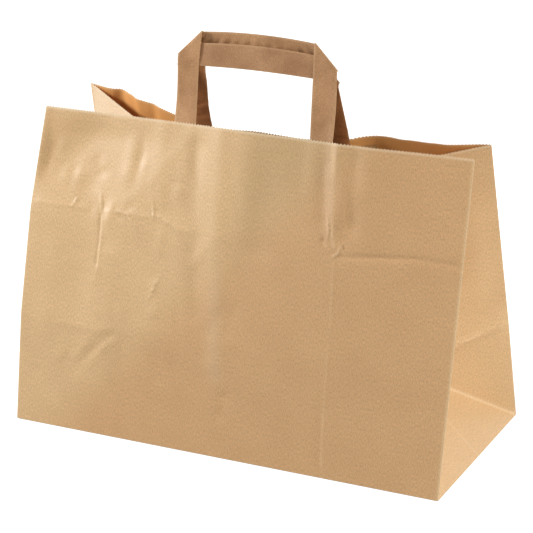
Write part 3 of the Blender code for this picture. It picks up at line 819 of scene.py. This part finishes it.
# %% Where the legs reach the plane of the grips
GRIP_MARGIN = 0.003
BACK_GRIP_LIFT = 0.0010
GRIP_START = HANDLE_LENGTH - TAPE_WIDTH - GRIP_MARGIN
GLUED = {face: HANDLE_LENGTH - HANDLE_RISE[face] for face in (FRONT, BACK)}


def rise_at_grip(face):
    """Height along the plane of the grips at which a leg of this handle reaches it."""
    free = GRIP_START - GLUED[face]
    if face == FRONT:
        return free
    start = inside_panel(BACK, [HANDLE_SHIFT[BACK]], [SHEET_HEIGHT], TAPE_FROM_PANEL)[0]
    start = start - GRIP_ORIGIN - GRIP_BEHIND * LEG_LAYER[BACK] * LAYER_PITCH
    off, along = start.dot(GRIP_BEHIND), start.dot(GRIP_UP)
    return along + math.sqrt(free ** 2 - off ** 2) + BACK_GRIP_LIFT


GRIP_RISE = {face: rise_at_grip(face) for face in (FRONT, BACK)}


def on_grip(face, x, distance, layer):
    """Points in one layer of the grips, at distances along the tape from its glued end."""
    rise = GRIP_RISE[face] + distance - GRIP_START
    behind = np.outer(layer * np.ones(len(x)), GRIP_BEHIND) * LAYER_PITCH
    place = GRIP_ORIGIN + np.outer(rise, GRIP_UP) + behind
    place[:, 0] = x
    return place


print("the back grip starts %.1f mm up" % (GRIP_RISE[BACK] / MM))

# %% Rows of a leg
LEG_ROWS, FOLD_ROWS, BAR_ROWS, TAPE_COLUMNS = 60, 6, 120, 10
ACROSS = np.linspace(0.0, 1.0, TAPE_COLUMNS + 1)
CORNER_PINCH = {FRONT: {LEFT: 0.0014, RIGHT: 0.0}, BACK: {LEFT: 0.0, RIGHT: 0.0}}
LEG_BOW = {FRONT: {LEFT: 0.0, RIGHT: 0.0}, BACK: {LEFT: 0.0053, RIGHT: 0.0}}
LEG_TWIST = {FRONT: 2.0 * MM, BACK: 0.0}


def leg_rows(face, side):
    """Rows of points from the glued end of a leg up to its slanted fold."""
    x = HANDLE_SHIFT[face] + side * HANDLE_WIDTH / 2 - side * TAPE_WIDTH * ACROSS
    foot, head = LEG_LEAN[face][side]
    glued = GLUED[face]
    rows = []
    for share in np.linspace(0.0, 1.0, LEG_ROWS + 1):
        distance = share * (HANDLE_LENGTH - TAPE_WIDTH + TAPE_WIDTH * ACROSS)
        s = SHEET_HEIGHT - glued + np.minimum(distance, glued)
        inner = inside_panel(face, x + foot, s, TAPE_FROM_PANEL)
        inner[:, 0] -= foot
        upper = on_grip(face, x, np.maximum(distance, GRIP_START), LEG_LAYER[face])
        along = np.clip((distance - glued) / (GRIP_START - glued), 0.0, 1.0)
        free = np.clip((distance - glued) / (HANDLE_LENGTH - glued), 0.0, 1.0)
        row = mix(inner, upper, along[:, None])
        twist = LEG_TWIST[face] * np.sin(math.pi * along) * (1.0 - ACROSS)
        row += twist[:, None] * GRIP_BEHIND
        pinch = side * CORNER_PINCH[face][side] * (1.0 - ACROSS) * free
        bow = LEG_BOW[face][side] * np.sin(math.pi * free ** 2)
        row[:, 0] += mix(foot, head, free) - pinch + bow
        rows.append(row)
    return rows


print(len(leg_rows(FRONT, LEFT)), "rows in a leg")

# %% Rows of the crossbar and the folds
HANDLE_ARCH = 0.0022
FOLD_BULGE = 0.0004


def bar_rows(face):
    """Rows of points along the crossbar, which arches up in its middle."""
    middle, half = HANDLE_SHIFT[face], HANDLE_WIDTH / 2
    pinch = CORNER_PINCH[face]
    rows = []
    for share in np.linspace(0.0, 1.0, BAR_ROWS + 1):
        arch = HANDLE_ARCH * (1.0 - (2.0 * share - 1.0) ** 2)
        low = mix(middle - half + pinch[LEFT], middle + half - pinch[RIGHT], share)
        high = mix(middle - half + TAPE_WIDTH, middle + half - TAPE_WIDTH, share)
        lean_in = mix(LEG_LEAN[face][LEFT][1], LEG_LEAN[face][RIGHT][1], share)
        distance = HANDLE_LENGTH - TAPE_WIDTH + CROSSBAR_WIDTH * ACROSS + arch
        rows.append(on_grip(face, mix(low, high, ACROSS) + lean_in, distance, BAR_LAYER[face]))
    return rows


def slanted_fold(start, end, side):
    """Half round from one layer to the other, bulging out past the slanted edge."""
    outward = unit(np.array([side, 0.0, 0.0]) + GRIP_UP)
    rows = []
    for angle in np.linspace(0.0, math.pi, FOLD_ROWS + 1)[1:-1]:
        swing = (start - end) / 2 * math.cos(angle) + outward * FOLD_BULGE * math.sin(angle)
        rows.append((start + end) / 2 + swing)
    return rows


def handle_path(face):
    """Rows of points along the tape, from its left glued end to its right glued end."""
    left, bar, right = leg_rows(face, LEFT), bar_rows(face), leg_rows(face, RIGHT)
    left_fold = slanted_fold(left[-1], bar[0], LEFT)
    right_fold = slanted_fold(bar[-1], right[-1], RIGHT)
    return np.array(left + left_fold + bar + right_fold + right[::-1])


paths = {face: handle_path(face) for face in (FRONT, BACK)}
print("tape rows:", paths[FRONT].shape)

# %% [markdown]
# Paper tape is never quite flat. A slow wave runs along it, and the legs bend softly instead
# of turning sharply where they leave the panel. The front crossbar is rippled along its lower
# edge, where it was pressed round the folds, and the back legs are creased across.

# %% Bend and ripple the tape
SLOW_WAVE = 0.16 * MM
RIPPLE = 0.75 * MM
LOWER_EDGE_BEHIND = 2.6 * MM
BAR_BEHIND = 0.25 * MM
LEG_CREASE = 0.18 * MM


def relax(path, first, last, times):
    """Evens out the bends of the rows from first to last."""
    for _ in range(times):
        before, after = path[first - 1:last - 1], path[first + 1:last + 1]
        path[first:last] = (before + 2.0 * path[first:last] + after) / 4.0


def bar_ripple(row, wave):
    """The slow wave of the front tape, with the ripples of its crossbar in its middle part."""
    start, end = LEG_ROWS + FOLD_ROWS, LEG_ROWS + FOLD_ROWS + BAR_ROWS
    on_bar = ease(row, start + 1.0, start + 5.0) * (1.0 - ease(row, end - 5.0, end - 1.0))
    place = (row - start) / BAR_ROWS
    ripple = 0.8 * np.sin(place * 78.0) + 0.5 * np.sin(place * 47.0 + 1.0)
    low = ease(0.95 - ACROSS, 0.0, 0.8)
    set_back = RIPPLE * ripple * low + LOWER_EDGE_BEHIND * (1.0 - ACROSS) + BAR_BEHIND
    return wave * (1.0 - on_bar) + set_back * on_bar


def leg_creases(row, total, rim_row):
    """Creases across the back legs, a little above the rim."""
    from_end = np.minimum(row, total - 1 - row)
    creased = ease(from_end, rim_row + 1.0, rim_row + 5.0)
    creased = creased * (1.0 - ease(from_end, rim_row + 14.0, rim_row + 26.0))
    folds = np.sin(from_end * 1.45 + 1.6 * ACROSS) * np.sin(from_end * 0.31 + 0.8)
    folds = folds + 0.6 * np.sin(from_end * 0.83 - 2.4 * ACROSS + 3.0 * row / total)
    return LEG_CREASE * folds * creased


def finish_path(face):
    path = paths[face].copy()
    total = len(path)
    rim_row = round(LEG_ROWS * GLUED[face] / HANDLE_LENGTH)
    grip_row = round(LEG_ROWS * GRIP_START / HANDLE_LENGTH)
    for row in (rim_row + 4, grip_row):
        relax(path, row - 3, row + 4, 8)
        relax(path, total - row - 4, total - row + 3, 8)
    row = np.arange(total)[:, None]
    free = ease(row, rim_row + 2.0, rim_row + 14.0)
    free = free * ease(total - 1 - row, rim_row + 2.0, rim_row + 14.0)
    wave = SLOW_WAVE * np.sin(row / 9.0 + 1.3 * face) * free
    if face == FRONT:
        wave = bar_ripple(row, wave)
    else:
        wave = wave + leg_creases(row, total, rim_row)
    return path + wave[:, :, None] * GRIP_BEHIND


paths = {face: finish_path(face) for face in (FRONT, BACK)}
print("front grip is %.1f mm high" % (paths[FRONT][:, :, 2].max() / MM))

# %% Make a strip of tape
TAPE_BEVEL = 0.15 * MM
TAPE_EDGE_WEAR, TAPE_FOLD_WEAR = 0.4, 0.3


def tape_handle(name, face):
    """One handle: a flat strip whose rows are then put on their path."""
    path = paths[face]
    last_row = len(path) - 1
    strip = add_grid(name, last_row, TAPE_COLUMNS, 1.0, 1.0)
    place = face_centres(strip.data)[:, 0] * last_row
    leg_end = LEG_ROWS + FOLD_ROWS / 2
    for part in ("crossbar_place", "leg_place"):
        strip.data.materials.append(bpy.data.materials.new(part))
    on_leg = (place < leg_end) | (place > last_row - leg_end)
    strip.data.polygons.foreach_set("material_index", on_leg.astype(int))
    flat = read_points(strip.data)
    row = np.rint(flat[:, 0] * last_row).astype(int)
    column = np.rint(flat[:, 1] * TAPE_COLUMNS).astype(int)
    steps = np.linalg.norm(np.diff(path, axis=0), axis=2)
    length = np.concatenate([np.zeros((1, steps.shape[1])), np.cumsum(steps, axis=0)])
    flat[:, 0] = length[row, column]
    flat[:, 1] = column / TAPE_COLUMNS * TAPE_WIDTH
    write_points(strip.data, flat)
    keep_flat_places(strip)
    at_edge = np.minimum(column, TAPE_COLUMNS - column) == 0
    at_fold = np.isin(row, [leg_end, last_row - leg_end])
    keep_wear_and_sheen(strip, TAPE_EDGE_WEAR * at_edge + TAPE_FOLD_WEAR * at_fold)
    write_points(strip.data, path[row, column])
    apply_modifier(strip, "SOLIDIFY", thickness=TAPE, offset=0.0, use_even_offset=True)
    apply_modifier(strip, "BEVEL", width=TAPE_BEVEL, segments=2, limit_method="ANGLE",
                   angle_limit=math.radians(60))
    shade(strip, 50)
    return strip


front_handle = tape_handle("front_tape_handle", FRONT)
back_handle = tape_handle("back_tape_handle", BACK)
print("front handle:", len(front_handle.data.polygons), "faces")

# %% [markdown]
# ## The patches
# Inside the mouth a strip of paper is glued over the ends of each handle. It is a grid laid
# on the inner face of the panel, and it steps up where it crosses a leg.

# %% Patches over the handle ends
PATCH_ON_PANEL = PAPER + PLY_GAP + PAPER / 2
PATCH_ON_TAPE = PATCH_ON_PANEL + TAPE + PLY_GAP
PATCH_STEP_START, PATCH_STEP_END = 2.4 * MM, 0.3 * MM
HALF_TOOTH_PITCH = 1.1 * MM
PATCH_COLUMNS, PATCH_ROWS = round(PATCH_WIDTH / HALF_TOOTH_PITCH), 24
PATCH_RIM_WEAR = 0.3


def glued_patch(name, face):
    """Strip of paper inside a panel, with its pinked top edge and its steps over the legs."""
    strip = add_grid(name, PATCH_COLUMNS, PATCH_ROWS, PATCH_WIDTH, PATCH_HEIGHT)
    points = read_points(strip.data)
    column = np.rint(points[:, 0] / PATCH_WIDTH * PATCH_COLUMNS)
    low = (points[:, 1] > PATCH_HEIGHT - 1e-6) & (column % 2 == 0)
    points[low, 1] -= TOOTH
    write_points(strip.data, points)
    keep_flat_places(strip)
    keep_wear_and_sheen(strip, PATCH_RIM_WEAR * (points[:, 1] > PATCH_HEIGHT - 2 * TOOTH))
    x = HANDLE_SHIFT[face] - PATCH_WIDTH / 2 + points[:, 0]
    s = SHEET_HEIGHT - PATCH_DROP - PATCH_HEIGHT + points[:, 1]
    raised = np.zeros(len(x))
    for side in (LEFT, RIGHT):
        left, right = sorted(leg_edges(face, side))
        step_up = ease(x, left - PATCH_STEP_START, left - PATCH_STEP_END)
        step_down = ease(x, right + PATCH_STEP_END, right + PATCH_STEP_START)
        raised = np.maximum(raised, step_up * (1.0 - step_down))
    depth = mix(PATCH_ON_PANEL, PATCH_ON_TAPE, raised)
    write_points(strip.data, inside_panel(face, x, s, depth))
    apply_modifier(strip, "SOLIDIFY", thickness=PAPER, offset=0.0, use_even_offset=True)
    shade(strip, 40)
    return strip


front_patch = glued_patch("front_glued_patch", FRONT)
back_patch = glued_patch("back_glued_patch", BACK)
print("front patch:", len(front_patch.data.polygons), "faces")

# %% [markdown]
# ## Kraft paper
# Unbleached kraft paper is made of long brown softwood fibres. The eye sees a warm tan with
# slow cloudy patches, fine darker and lighter flecks along the machine direction and faint
# ribs. It is almost matt. Folds and cut edges look paler, because the fibres break there, and
# the same pale colour is painted along two ridges as a sheen. A few regions of the sheet and
# the tapes also carry painted light and shade. All patterns are laid on the flat sheet, in
# metres, so they turn with it at each fold.

# %% Colours and nodes
def linear(code):
    """Linear colour of a six-figure sRGB hex code."""
    channels = []
    for start in (0, 2, 4):
        value = int(code[start:start + 2], 16) / 255
        channels.append(value / 12.92 if value <= 0.04045 else ((value + 0.055) / 1.055) ** 2.4)
    return (*channels, 1.0)


def add(tree, kind, values=None, links=None, **settings):
    """Adds a node with its settings, its socket values and the sockets that feed it."""
    node = tree.nodes.new(kind)
    for name, value in settings.items():
        setattr(node, name, value)
    for name, value in (values or {}).items():
        node.inputs[name].default_value = value
    for name, socket in (links or {}).items():
        tree.links.new(socket, node.inputs[name])
    return node


print("mid grey 808080 is %.3f in linear light" % linear("808080")[0])

# %% [markdown]
# A few regions of the sheet carry painted light and shade. Its lower right is painted darker
# and warmer, as shade where the light falls off, the part above that and right of the long
# ridge is duller, the turned corner is painted a little darker, as shade where it is bent away
# from the light, and the left pleat is painted paler, as a highlight where the key light strikes
# it. Each such region begins at a line on the flat sheet, so it is found by how far a point
# lies along one direction.

# %% Painted light and shade on single regions of the sheet
def region(tree, flat, way, start, end, before=0.0, beyond=1.0):
    """Goes softly from one level to another where the sheet passes from start to end."""
    along = add(tree, "ShaderNodeVectorMath", {1: (*way, 0.0)}, {0: flat}, operation="DOT_PRODUCT")
    levels = {"From Min": start, "From Max": end, "To Min": before, "To Max": beyond}
    return add(tree, "ShaderNodeMapRange", levels, {"Value": along.outputs["Value"]},
               interpolation_type="SMOOTHSTEP").outputs[0]


def painted_light_tints(tree, flat, colour):
    # Painted shade on the lower right and the turned corner, a painted highlight on the left pleat.
    lower_right = region(tree, flat, (0.739, -0.673), 0.0, 0.050)
    on_front = region(tree, flat, (1.0, 0.0), 0.347, 0.350, 1.0, 0.0)
    past_ridge = region(tree, flat, (1.0, 0.0), 0.165, 0.190)
    corner_painted_shade = region(tree, flat, (-0.771, 0.637), 0.109, 0.130, 0.0, 0.9)
    pleat_painted_highlight = region(tree, flat, (1.0, 0.0), 0.868, 0.874, 0.0, 0.4)
    warm_painted_shade = add(tree, "ShaderNodeMath", links={0: lower_right, 1: on_front}, operation="MULTIPLY")
    upper_left = add(tree, "ShaderNodeMath", {0: 1.0}, {1: lower_right}, operation="SUBTRACT")
    dull = add(tree, "ShaderNodeMath", links={0: past_ridge, 1: upper_left.outputs[0]},
               operation="MULTIPLY")
    for kind, share, tint in (("MULTIPLY", warm_painted_shade.outputs[0], "F2E8E1"),
                              ("MULTIPLY", dull.outputs[0], "E7E6DF"),
                              ("MULTIPLY", corner_painted_shade, "F0EBE4"),
                              ("MIX", pleat_painted_highlight, "F0E0CB")):
        colour = add(tree, "ShaderNodeMix", {7: linear(tint)}, {0: share, 6: colour},
                     data_type="RGBA", blend_type=kind).outputs[2]
    return colour


print("the warm region begins on the diagonal through the lower left corner")

# %% [markdown]
# A kraft material mixes a light and a dark tone by slow clouds, then lets flecks, grain and
# ribs make it a little darker or lighter. Clouds of fibre are about 30 mm wide. A softwood
# fibre is only 0.03 mm thick, and one pixel of the picture is 0.8 mm, so the flecks are drawn
# coarser than real ones to show at all: 0.9 mm wide and 1.9 mm long, with a grain of 0.5 mm.
# The ribs, which the machine's wire leaves, repeat every 1.1 mm. A wave texture takes the
# sine of 20 times its scale times the place, so its scale is 0.1 pi over the spacing.

# %% Patterns of kraft paper
CLOUDS_PER_METRE = 34.0
FLECKS_PER_METRE = 1150.0
GRAINS_PER_METRE = 1900.0
FLECK_STRETCH = (1.0, 0.45, 1.0)
RIB_SPACING = 1.1 * MM


def fibre_patterns(tree, flat):
    """Clouds, flecks, grain and ribs, each from 0 to 1."""
    noise = []
    stretched = add(tree, "ShaderNodeMapping", {"Scale": FLECK_STRETCH}, {"Vector": flat})
    for place, scale, detail, roughness in ((flat, CLOUDS_PER_METRE, 3.0, 0.55),
                                            (stretched.outputs[0], FLECKS_PER_METRE, 3.0, 0.6),
                                            (flat, GRAINS_PER_METRE, 2.0, 0.6)):
        levels = {"Scale": scale, "Detail": detail, "Roughness": roughness}
        noise.append(add(tree, "ShaderNodeTexNoise", levels, {"Vector": place}).outputs[0])
    levels = {"Scale": 0.1 * math.pi / RIB_SPACING, "Distortion": 1.2, "Detail": 2.0,
              "Detail Scale": 0.6}
    ribs = add(tree, "ShaderNodeTexWave", levels, {"Vector": flat}, wave_type="BANDS",
               bands_direction="X")
    return (*noise, ribs.outputs[1])


print("wave texture scale of the ribs: %.1f" % (0.1 * math.pi / RIB_SPACING))

# %% Kraft paper
NOISE_SPAN = {"From Min": 0.3, "From Max": 0.7}
TAPE_LENGTH = 0.33
PALE_MIX_FOR_WEAR_AND_SHEEN = 0.75
FIBRE_RELIEF = 0.12 * MM
PAPER_IOR = 1.47


def kraft(name, light, dark, roughness, mottle, fleck, rib, worn_and_sheen, bump, with_painted_light=False, shade_drift=0.0):
    """Kraft paper. Mottle, fleck, rib and bump say how strong its patterns are. The pale colour is
    that of fibres cracked at folds and also paints a sheen along two ridges, and the drift is
    painted shade that darkens a tape from its first end to its last."""
    material = bpy.data.materials.new(name)
    material.use_nodes = True
    tree = material.node_tree
    shader = next(node for node in tree.nodes if node.type == "BSDF_PRINCIPLED")
    flat = add(tree, "ShaderNodeUVMap", uv_map="flat_sheet").outputs["UV"]
    clouds, flecks, grain, ribs = fibre_patterns(tree, flat)
    patchy = add(tree, "ShaderNodeMapRange",
                 {**NOISE_SPAN, "To Min": 0.5 - mottle, "To Max": 0.5 + mottle},
                 {"Value": clouds})
    colour = add(tree, "ShaderNodeMix", {6: linear(dark), 7: linear(light)},
                 {0: patchy.outputs[0]}, data_type="RGBA").outputs[2]
    # Painted light and shade on single regions of the front and on the left pleat.
    if with_painted_light:
        colour = painted_light_tints(tree, flat, colour)
    tones = [(flecks, 0.3, 0.7, fleck), (grain, 0.3, 0.7, fleck * 0.6), (ribs, 0.0, 1.0, rib)]
    # Painted shade: the tape darkens from its left leg to its right leg, away from the key light.
    if shade_drift:
        lengthwise = add(tree, "ShaderNodeSeparateXYZ", links={"Vector": flat}).outputs["X"]
        tones.append((lengthwise, 0.0, TAPE_LENGTH, -shade_drift))
    for pattern, low, high, strength in tones:
        levels = {"From Min": low, "From Max": high,
                  "To Min": 1.0 - strength, "To Max": 1.0 + strength}
        tone = add(tree, "ShaderNodeMapRange", levels, {"Value": pattern})
        colour = add(tree, "ShaderNodeVectorMath", links={0: colour, "Scale": tone.outputs[0]},
                     operation="SCALE").outputs[0]
    # Pale colour of broken fibres at folds, and painted sheen along two ridges.
    wear_and_sheen = add(tree, "ShaderNodeAttribute", attribute_name="fold_wear_and_sheen")
    pale_share = add(tree, "ShaderNodeMath", {1: PALE_MIX_FOR_WEAR_AND_SHEEN}, {0: wear_and_sheen.outputs["Fac"]},
                 operation="MULTIPLY")
    colour = add(tree, "ShaderNodeMix", {7: linear(worn_and_sheen)}, {0: pale_share.outputs[0], 6: colour},
                 data_type="RGBA").outputs[2]
    rough = add(tree, "ShaderNodeMapRange",
                {**NOISE_SPAN, "To Min": roughness - 0.06, "To Max": roughness + 0.06},
                {"Value": flecks})
    surface = add(tree, "ShaderNodeMath", links={0: flecks, 1: ribs}, operation="ADD")
    relief = add(tree, "ShaderNodeBump", {"Strength": bump, "Distance": FIBRE_RELIEF},
                 {"Height": surface.outputs[0]})
    tree.links.new(colour, shader.inputs["Base Color"])
    tree.links.new(rough.outputs[0], shader.inputs["Roughness"])
    tree.links.new(relief.outputs[0], shader.inputs["Normal"])
    shader.inputs["IOR"].default_value = PAPER_IOR
    shader.inputs["Metallic"].default_value = 0.0
    material.diffuse_color = linear(light)
    return material


print("kraft paper has an index of refraction of", PAPER_IOR)

# %% The papers of this bag
# Machine-glazed kraft: pressed smooth on a hot drum, so the outer face has a soft sheen.
sheet_paper = kraft("kraft_machine_glazed_sheet", "DBB687", "D4AE80", roughness=0.46, mottle=0.35,
                    fleck=0.18, rib=0.006, worn_and_sheen="F2DDBB", bump=0.25, with_painted_light=True)
# The inner face of the same sheet: unglazed, matt and rougher. Its warmer, more orange tan is
# painted light, for light that bounces inside the bag and shines through the thin paper.
inner_paper_painted_bounce = kraft("kraft_unglazed_inner_face_painted_bounce", "E3A561", "D99A54", roughness=0.8, mottle=0.4,
                    fleck=0.08, rib=0.008, worn_and_sheen="EAC692", bump=0.3)
# Laminated tape: several plies with glue between them, darker, cloudier and ribbed. Its drift is
# painted shade, darker towards the right leg, away from the key light.
TAPE_LOOK = {"mottle": 0.9, "fleck": 0.20, "rib": 0.02, "bump": 0.45}
tape_paper = kraft("kraft_laminated_tape", "BE8F63", "A87A50", roughness=0.6, worn_and_sheen="D8B288",
                   shade_drift=0.11, **TAPE_LOOK)
# The same tape on the back handle's crossbar, painted a little darker as the shade it lies in.
tape_paper_back_painted_shade = kraft("kraft_laminated_tape_back_painted_shade", "B4865D", "A0724B", roughness=0.6,
                        worn_and_sheen="CFA578", **TAPE_LOOK)
# The back handle's legs: the same tape, rougher, and painted darker and redder as the warm shade
# inside the bag.
tape_back_legs_painted_shade = kraft("kraft_laminated_tape_back_legs_painted_shade", "BC7E4C", "A06538", roughness=0.7,
                       worn_and_sheen="CFA578", **TAPE_LOOK)
# Patch paper: plain, thin and even, stained a little by the glue under it.
patch_paper = kraft("kraft_patch_paper", "C0905A", "B5864F", roughness=0.7, mottle=0.5,
                    fleck=0.05, rib=0.012, worn_and_sheen="D8B080", bump=0.3)
print("materials:", sheet_paper.name, tape_paper.name, patch_paper.name)

# %% Dress the pieces
DRESS = [
    (bag, "bag_body", "kraft_sheet", (sheet_paper, inner_paper_painted_bounce)),
    (front_handle, "front_handle", "kraft_tape", (tape_paper, tape_paper)),
    (back_handle, "back_handle", "kraft_tape_dark", (tape_paper_back_painted_shade, tape_back_legs_painted_shade)),
    (front_patch, "front_patch", "kraft_patch", (patch_paper,)),
    (back_patch, "back_patch", "kraft_patch_back", (patch_paper,)),
]
for piece, node, slot, materials in DRESS:
    while len(piece.data.materials) < len(materials):
        piece.data.materials.append(None)
    for index, material in enumerate(materials):
        piece.data.materials[index] = material
    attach(piece, "root")
    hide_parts(node)
print(len(DRESS), "pieces dressed")

# %% [markdown]
# ## Stage, light and camera
# A wide white floor, a white sky that only the camera and reflections see as pure white, and
# three soft lamps: the key from the left, one from the right and a weak one from behind. The
# camera stands where the picture was taken from: about 1.7 m away, 25 degrees to the right
# and 20 degrees above. It was fitted to the corners of the bag, so its numbers aren't round.

# %% Floor
FLOOR_SIZE = 12.0
FLOOR_GLOW = 0.8
bpy.ops.object.select_all(action="DESELECT")
bpy.ops.mesh.primitive_plane_add(size=FLOOR_SIZE, location=(0.0, 0.0, -0.0002))
floor = bpy.context.object
floor.name = "studio_floor"
floor_material = bpy.data.materials.new("white_paper_sweep")
floor_material.use_nodes = True
tree = floor_material.node_tree
shader = next(node for node in tree.nodes if node.type == "BSDF_PRINCIPLED")
shader.inputs["Base Color"].default_value = linear("BEBEBC")
shader.inputs["Roughness"].default_value = 0.9
shader.inputs["Emission Color"].default_value = (1.0, 1.0, 1.0, 1.0)
ray = add(tree, "ShaderNodeLightPath")
glow = add(tree, "ShaderNodeMath", {1: FLOOR_GLOW}, {0: ray.outputs["Is Camera Ray"]},
           operation="MULTIPLY")
tree.links.new(glow.outputs[0], shader.inputs["Emission Strength"])
floor.data.materials.append(floor_material)
print("floor of", FLOOR_SIZE, "m")

# %% Sky
SKY_LIGHT = 0.27
world = bpy.data.worlds.new("white_studio")
bpy.context.scene.world = world
world.use_nodes = True
tree = world.node_tree
background = next(node for node in tree.nodes if node.type == "BACKGROUND")
ray = add(tree, "ShaderNodeLightPath")
seen = ray.outputs["Is Camera Ray"]
for kind in ("Is Glossy Ray", "Is Transmission Ray"):
    seen = add(tree, "ShaderNodeMath", links={0: seen, 1: ray.outputs[kind]},
               operation="MAXIMUM").outputs[0]
level = add(tree, "ShaderNodeMapRange", {"To Min": SKY_LIGHT, "To Max": 1.0}, {"Value": seen})
background.inputs["Color"].default_value = (1.0, 1.0, 1.0, 1.0)
tree.links.new(level.outputs[0], background.inputs["Strength"])
print("the sky lights the bag at", SKY_LIGHT)

# %% Lamps
LAMP_AIM = (0.0, 0.0, 0.12)
LAMPS = [
    ("key_softbox", (-1.9, -0.75, 1.0), 0.6, 48.5, (0.98, 1.0, 1.0)),
    ("side_softbox", (2.1, -0.36, 0.9), 0.9, 37.0, (1.0, 1.0, 0.98)),
    ("back_softbox", (0.3, 2.0, 1.0), 1.2, 9.0, (1.0, 1.0, 1.0)),
]


def standing(right, up, back, place):
    """Matrix of a lamp or camera that looks along minus back."""
    rows = [[right[i], up[i], back[i], place[i]] for i in range(3)]
    return Matrix(rows + [[0.0, 0.0, 0.0, 1.0]])


for name, place, size, power, colour in LAMPS:
    lamp = bpy.data.lights.new(name, "AREA")
    lamp.shape = "DISK"
    lamp.size = size
    lamp.energy = power
    lamp.color = colour
    holder = bpy.data.objects.new(name, lamp)
    bpy.context.scene.collection.objects.link(holder)
    back = unit(np.array(place) - np.array(LAMP_AIM))
    right = unit(np.cross([0.0, 0.0, 1.0], back))
    holder.matrix_world = standing(right, np.cross(back, right), back, place)
print(len(LAMPS), "lamps")

# %% Camera
PICTURE = 533
FOCAL_PIXELS = 2151.648
SENSOR = 36.0
CAMERA_DISTANCE = 1.67767
CAMERA_RIGHT, CAMERA_UP = 0.000035, 0.116986
turn, tilt, roll = 0.441774710, 0.343910417, -0.00273274906
back = np.array([math.sin(turn) * math.cos(tilt), -math.cos(turn) * math.cos(tilt), math.sin(tilt)])
level_right = unit(np.cross(-back, [0.0, 0.0, 1.0]))
level_up = np.cross(level_right, -back)
right = math.cos(roll) * level_right + math.sin(roll) * level_up
up = math.cos(roll) * level_up - math.sin(roll) * level_right
place = back * CAMERA_DISTANCE + level_right * CAMERA_RIGHT + level_up * CAMERA_UP
camera = bpy.data.cameras.new("picture_camera")
camera.sensor_width = SENSOR
camera.lens = FOCAL_PIXELS / PICTURE * SENSOR
camera.clip_end = 40.0
holder = bpy.data.objects.new("picture_camera", camera)
bpy.context.scene.collection.objects.link(holder)
holder.matrix_world = standing(right, up, back, place)
bpy.context.scene.camera = holder
bpy.context.scene.view_settings.view_transform = "Standard"
print("camera at", np.round(place, 3), "lens %.1f mm" % camera.lens)
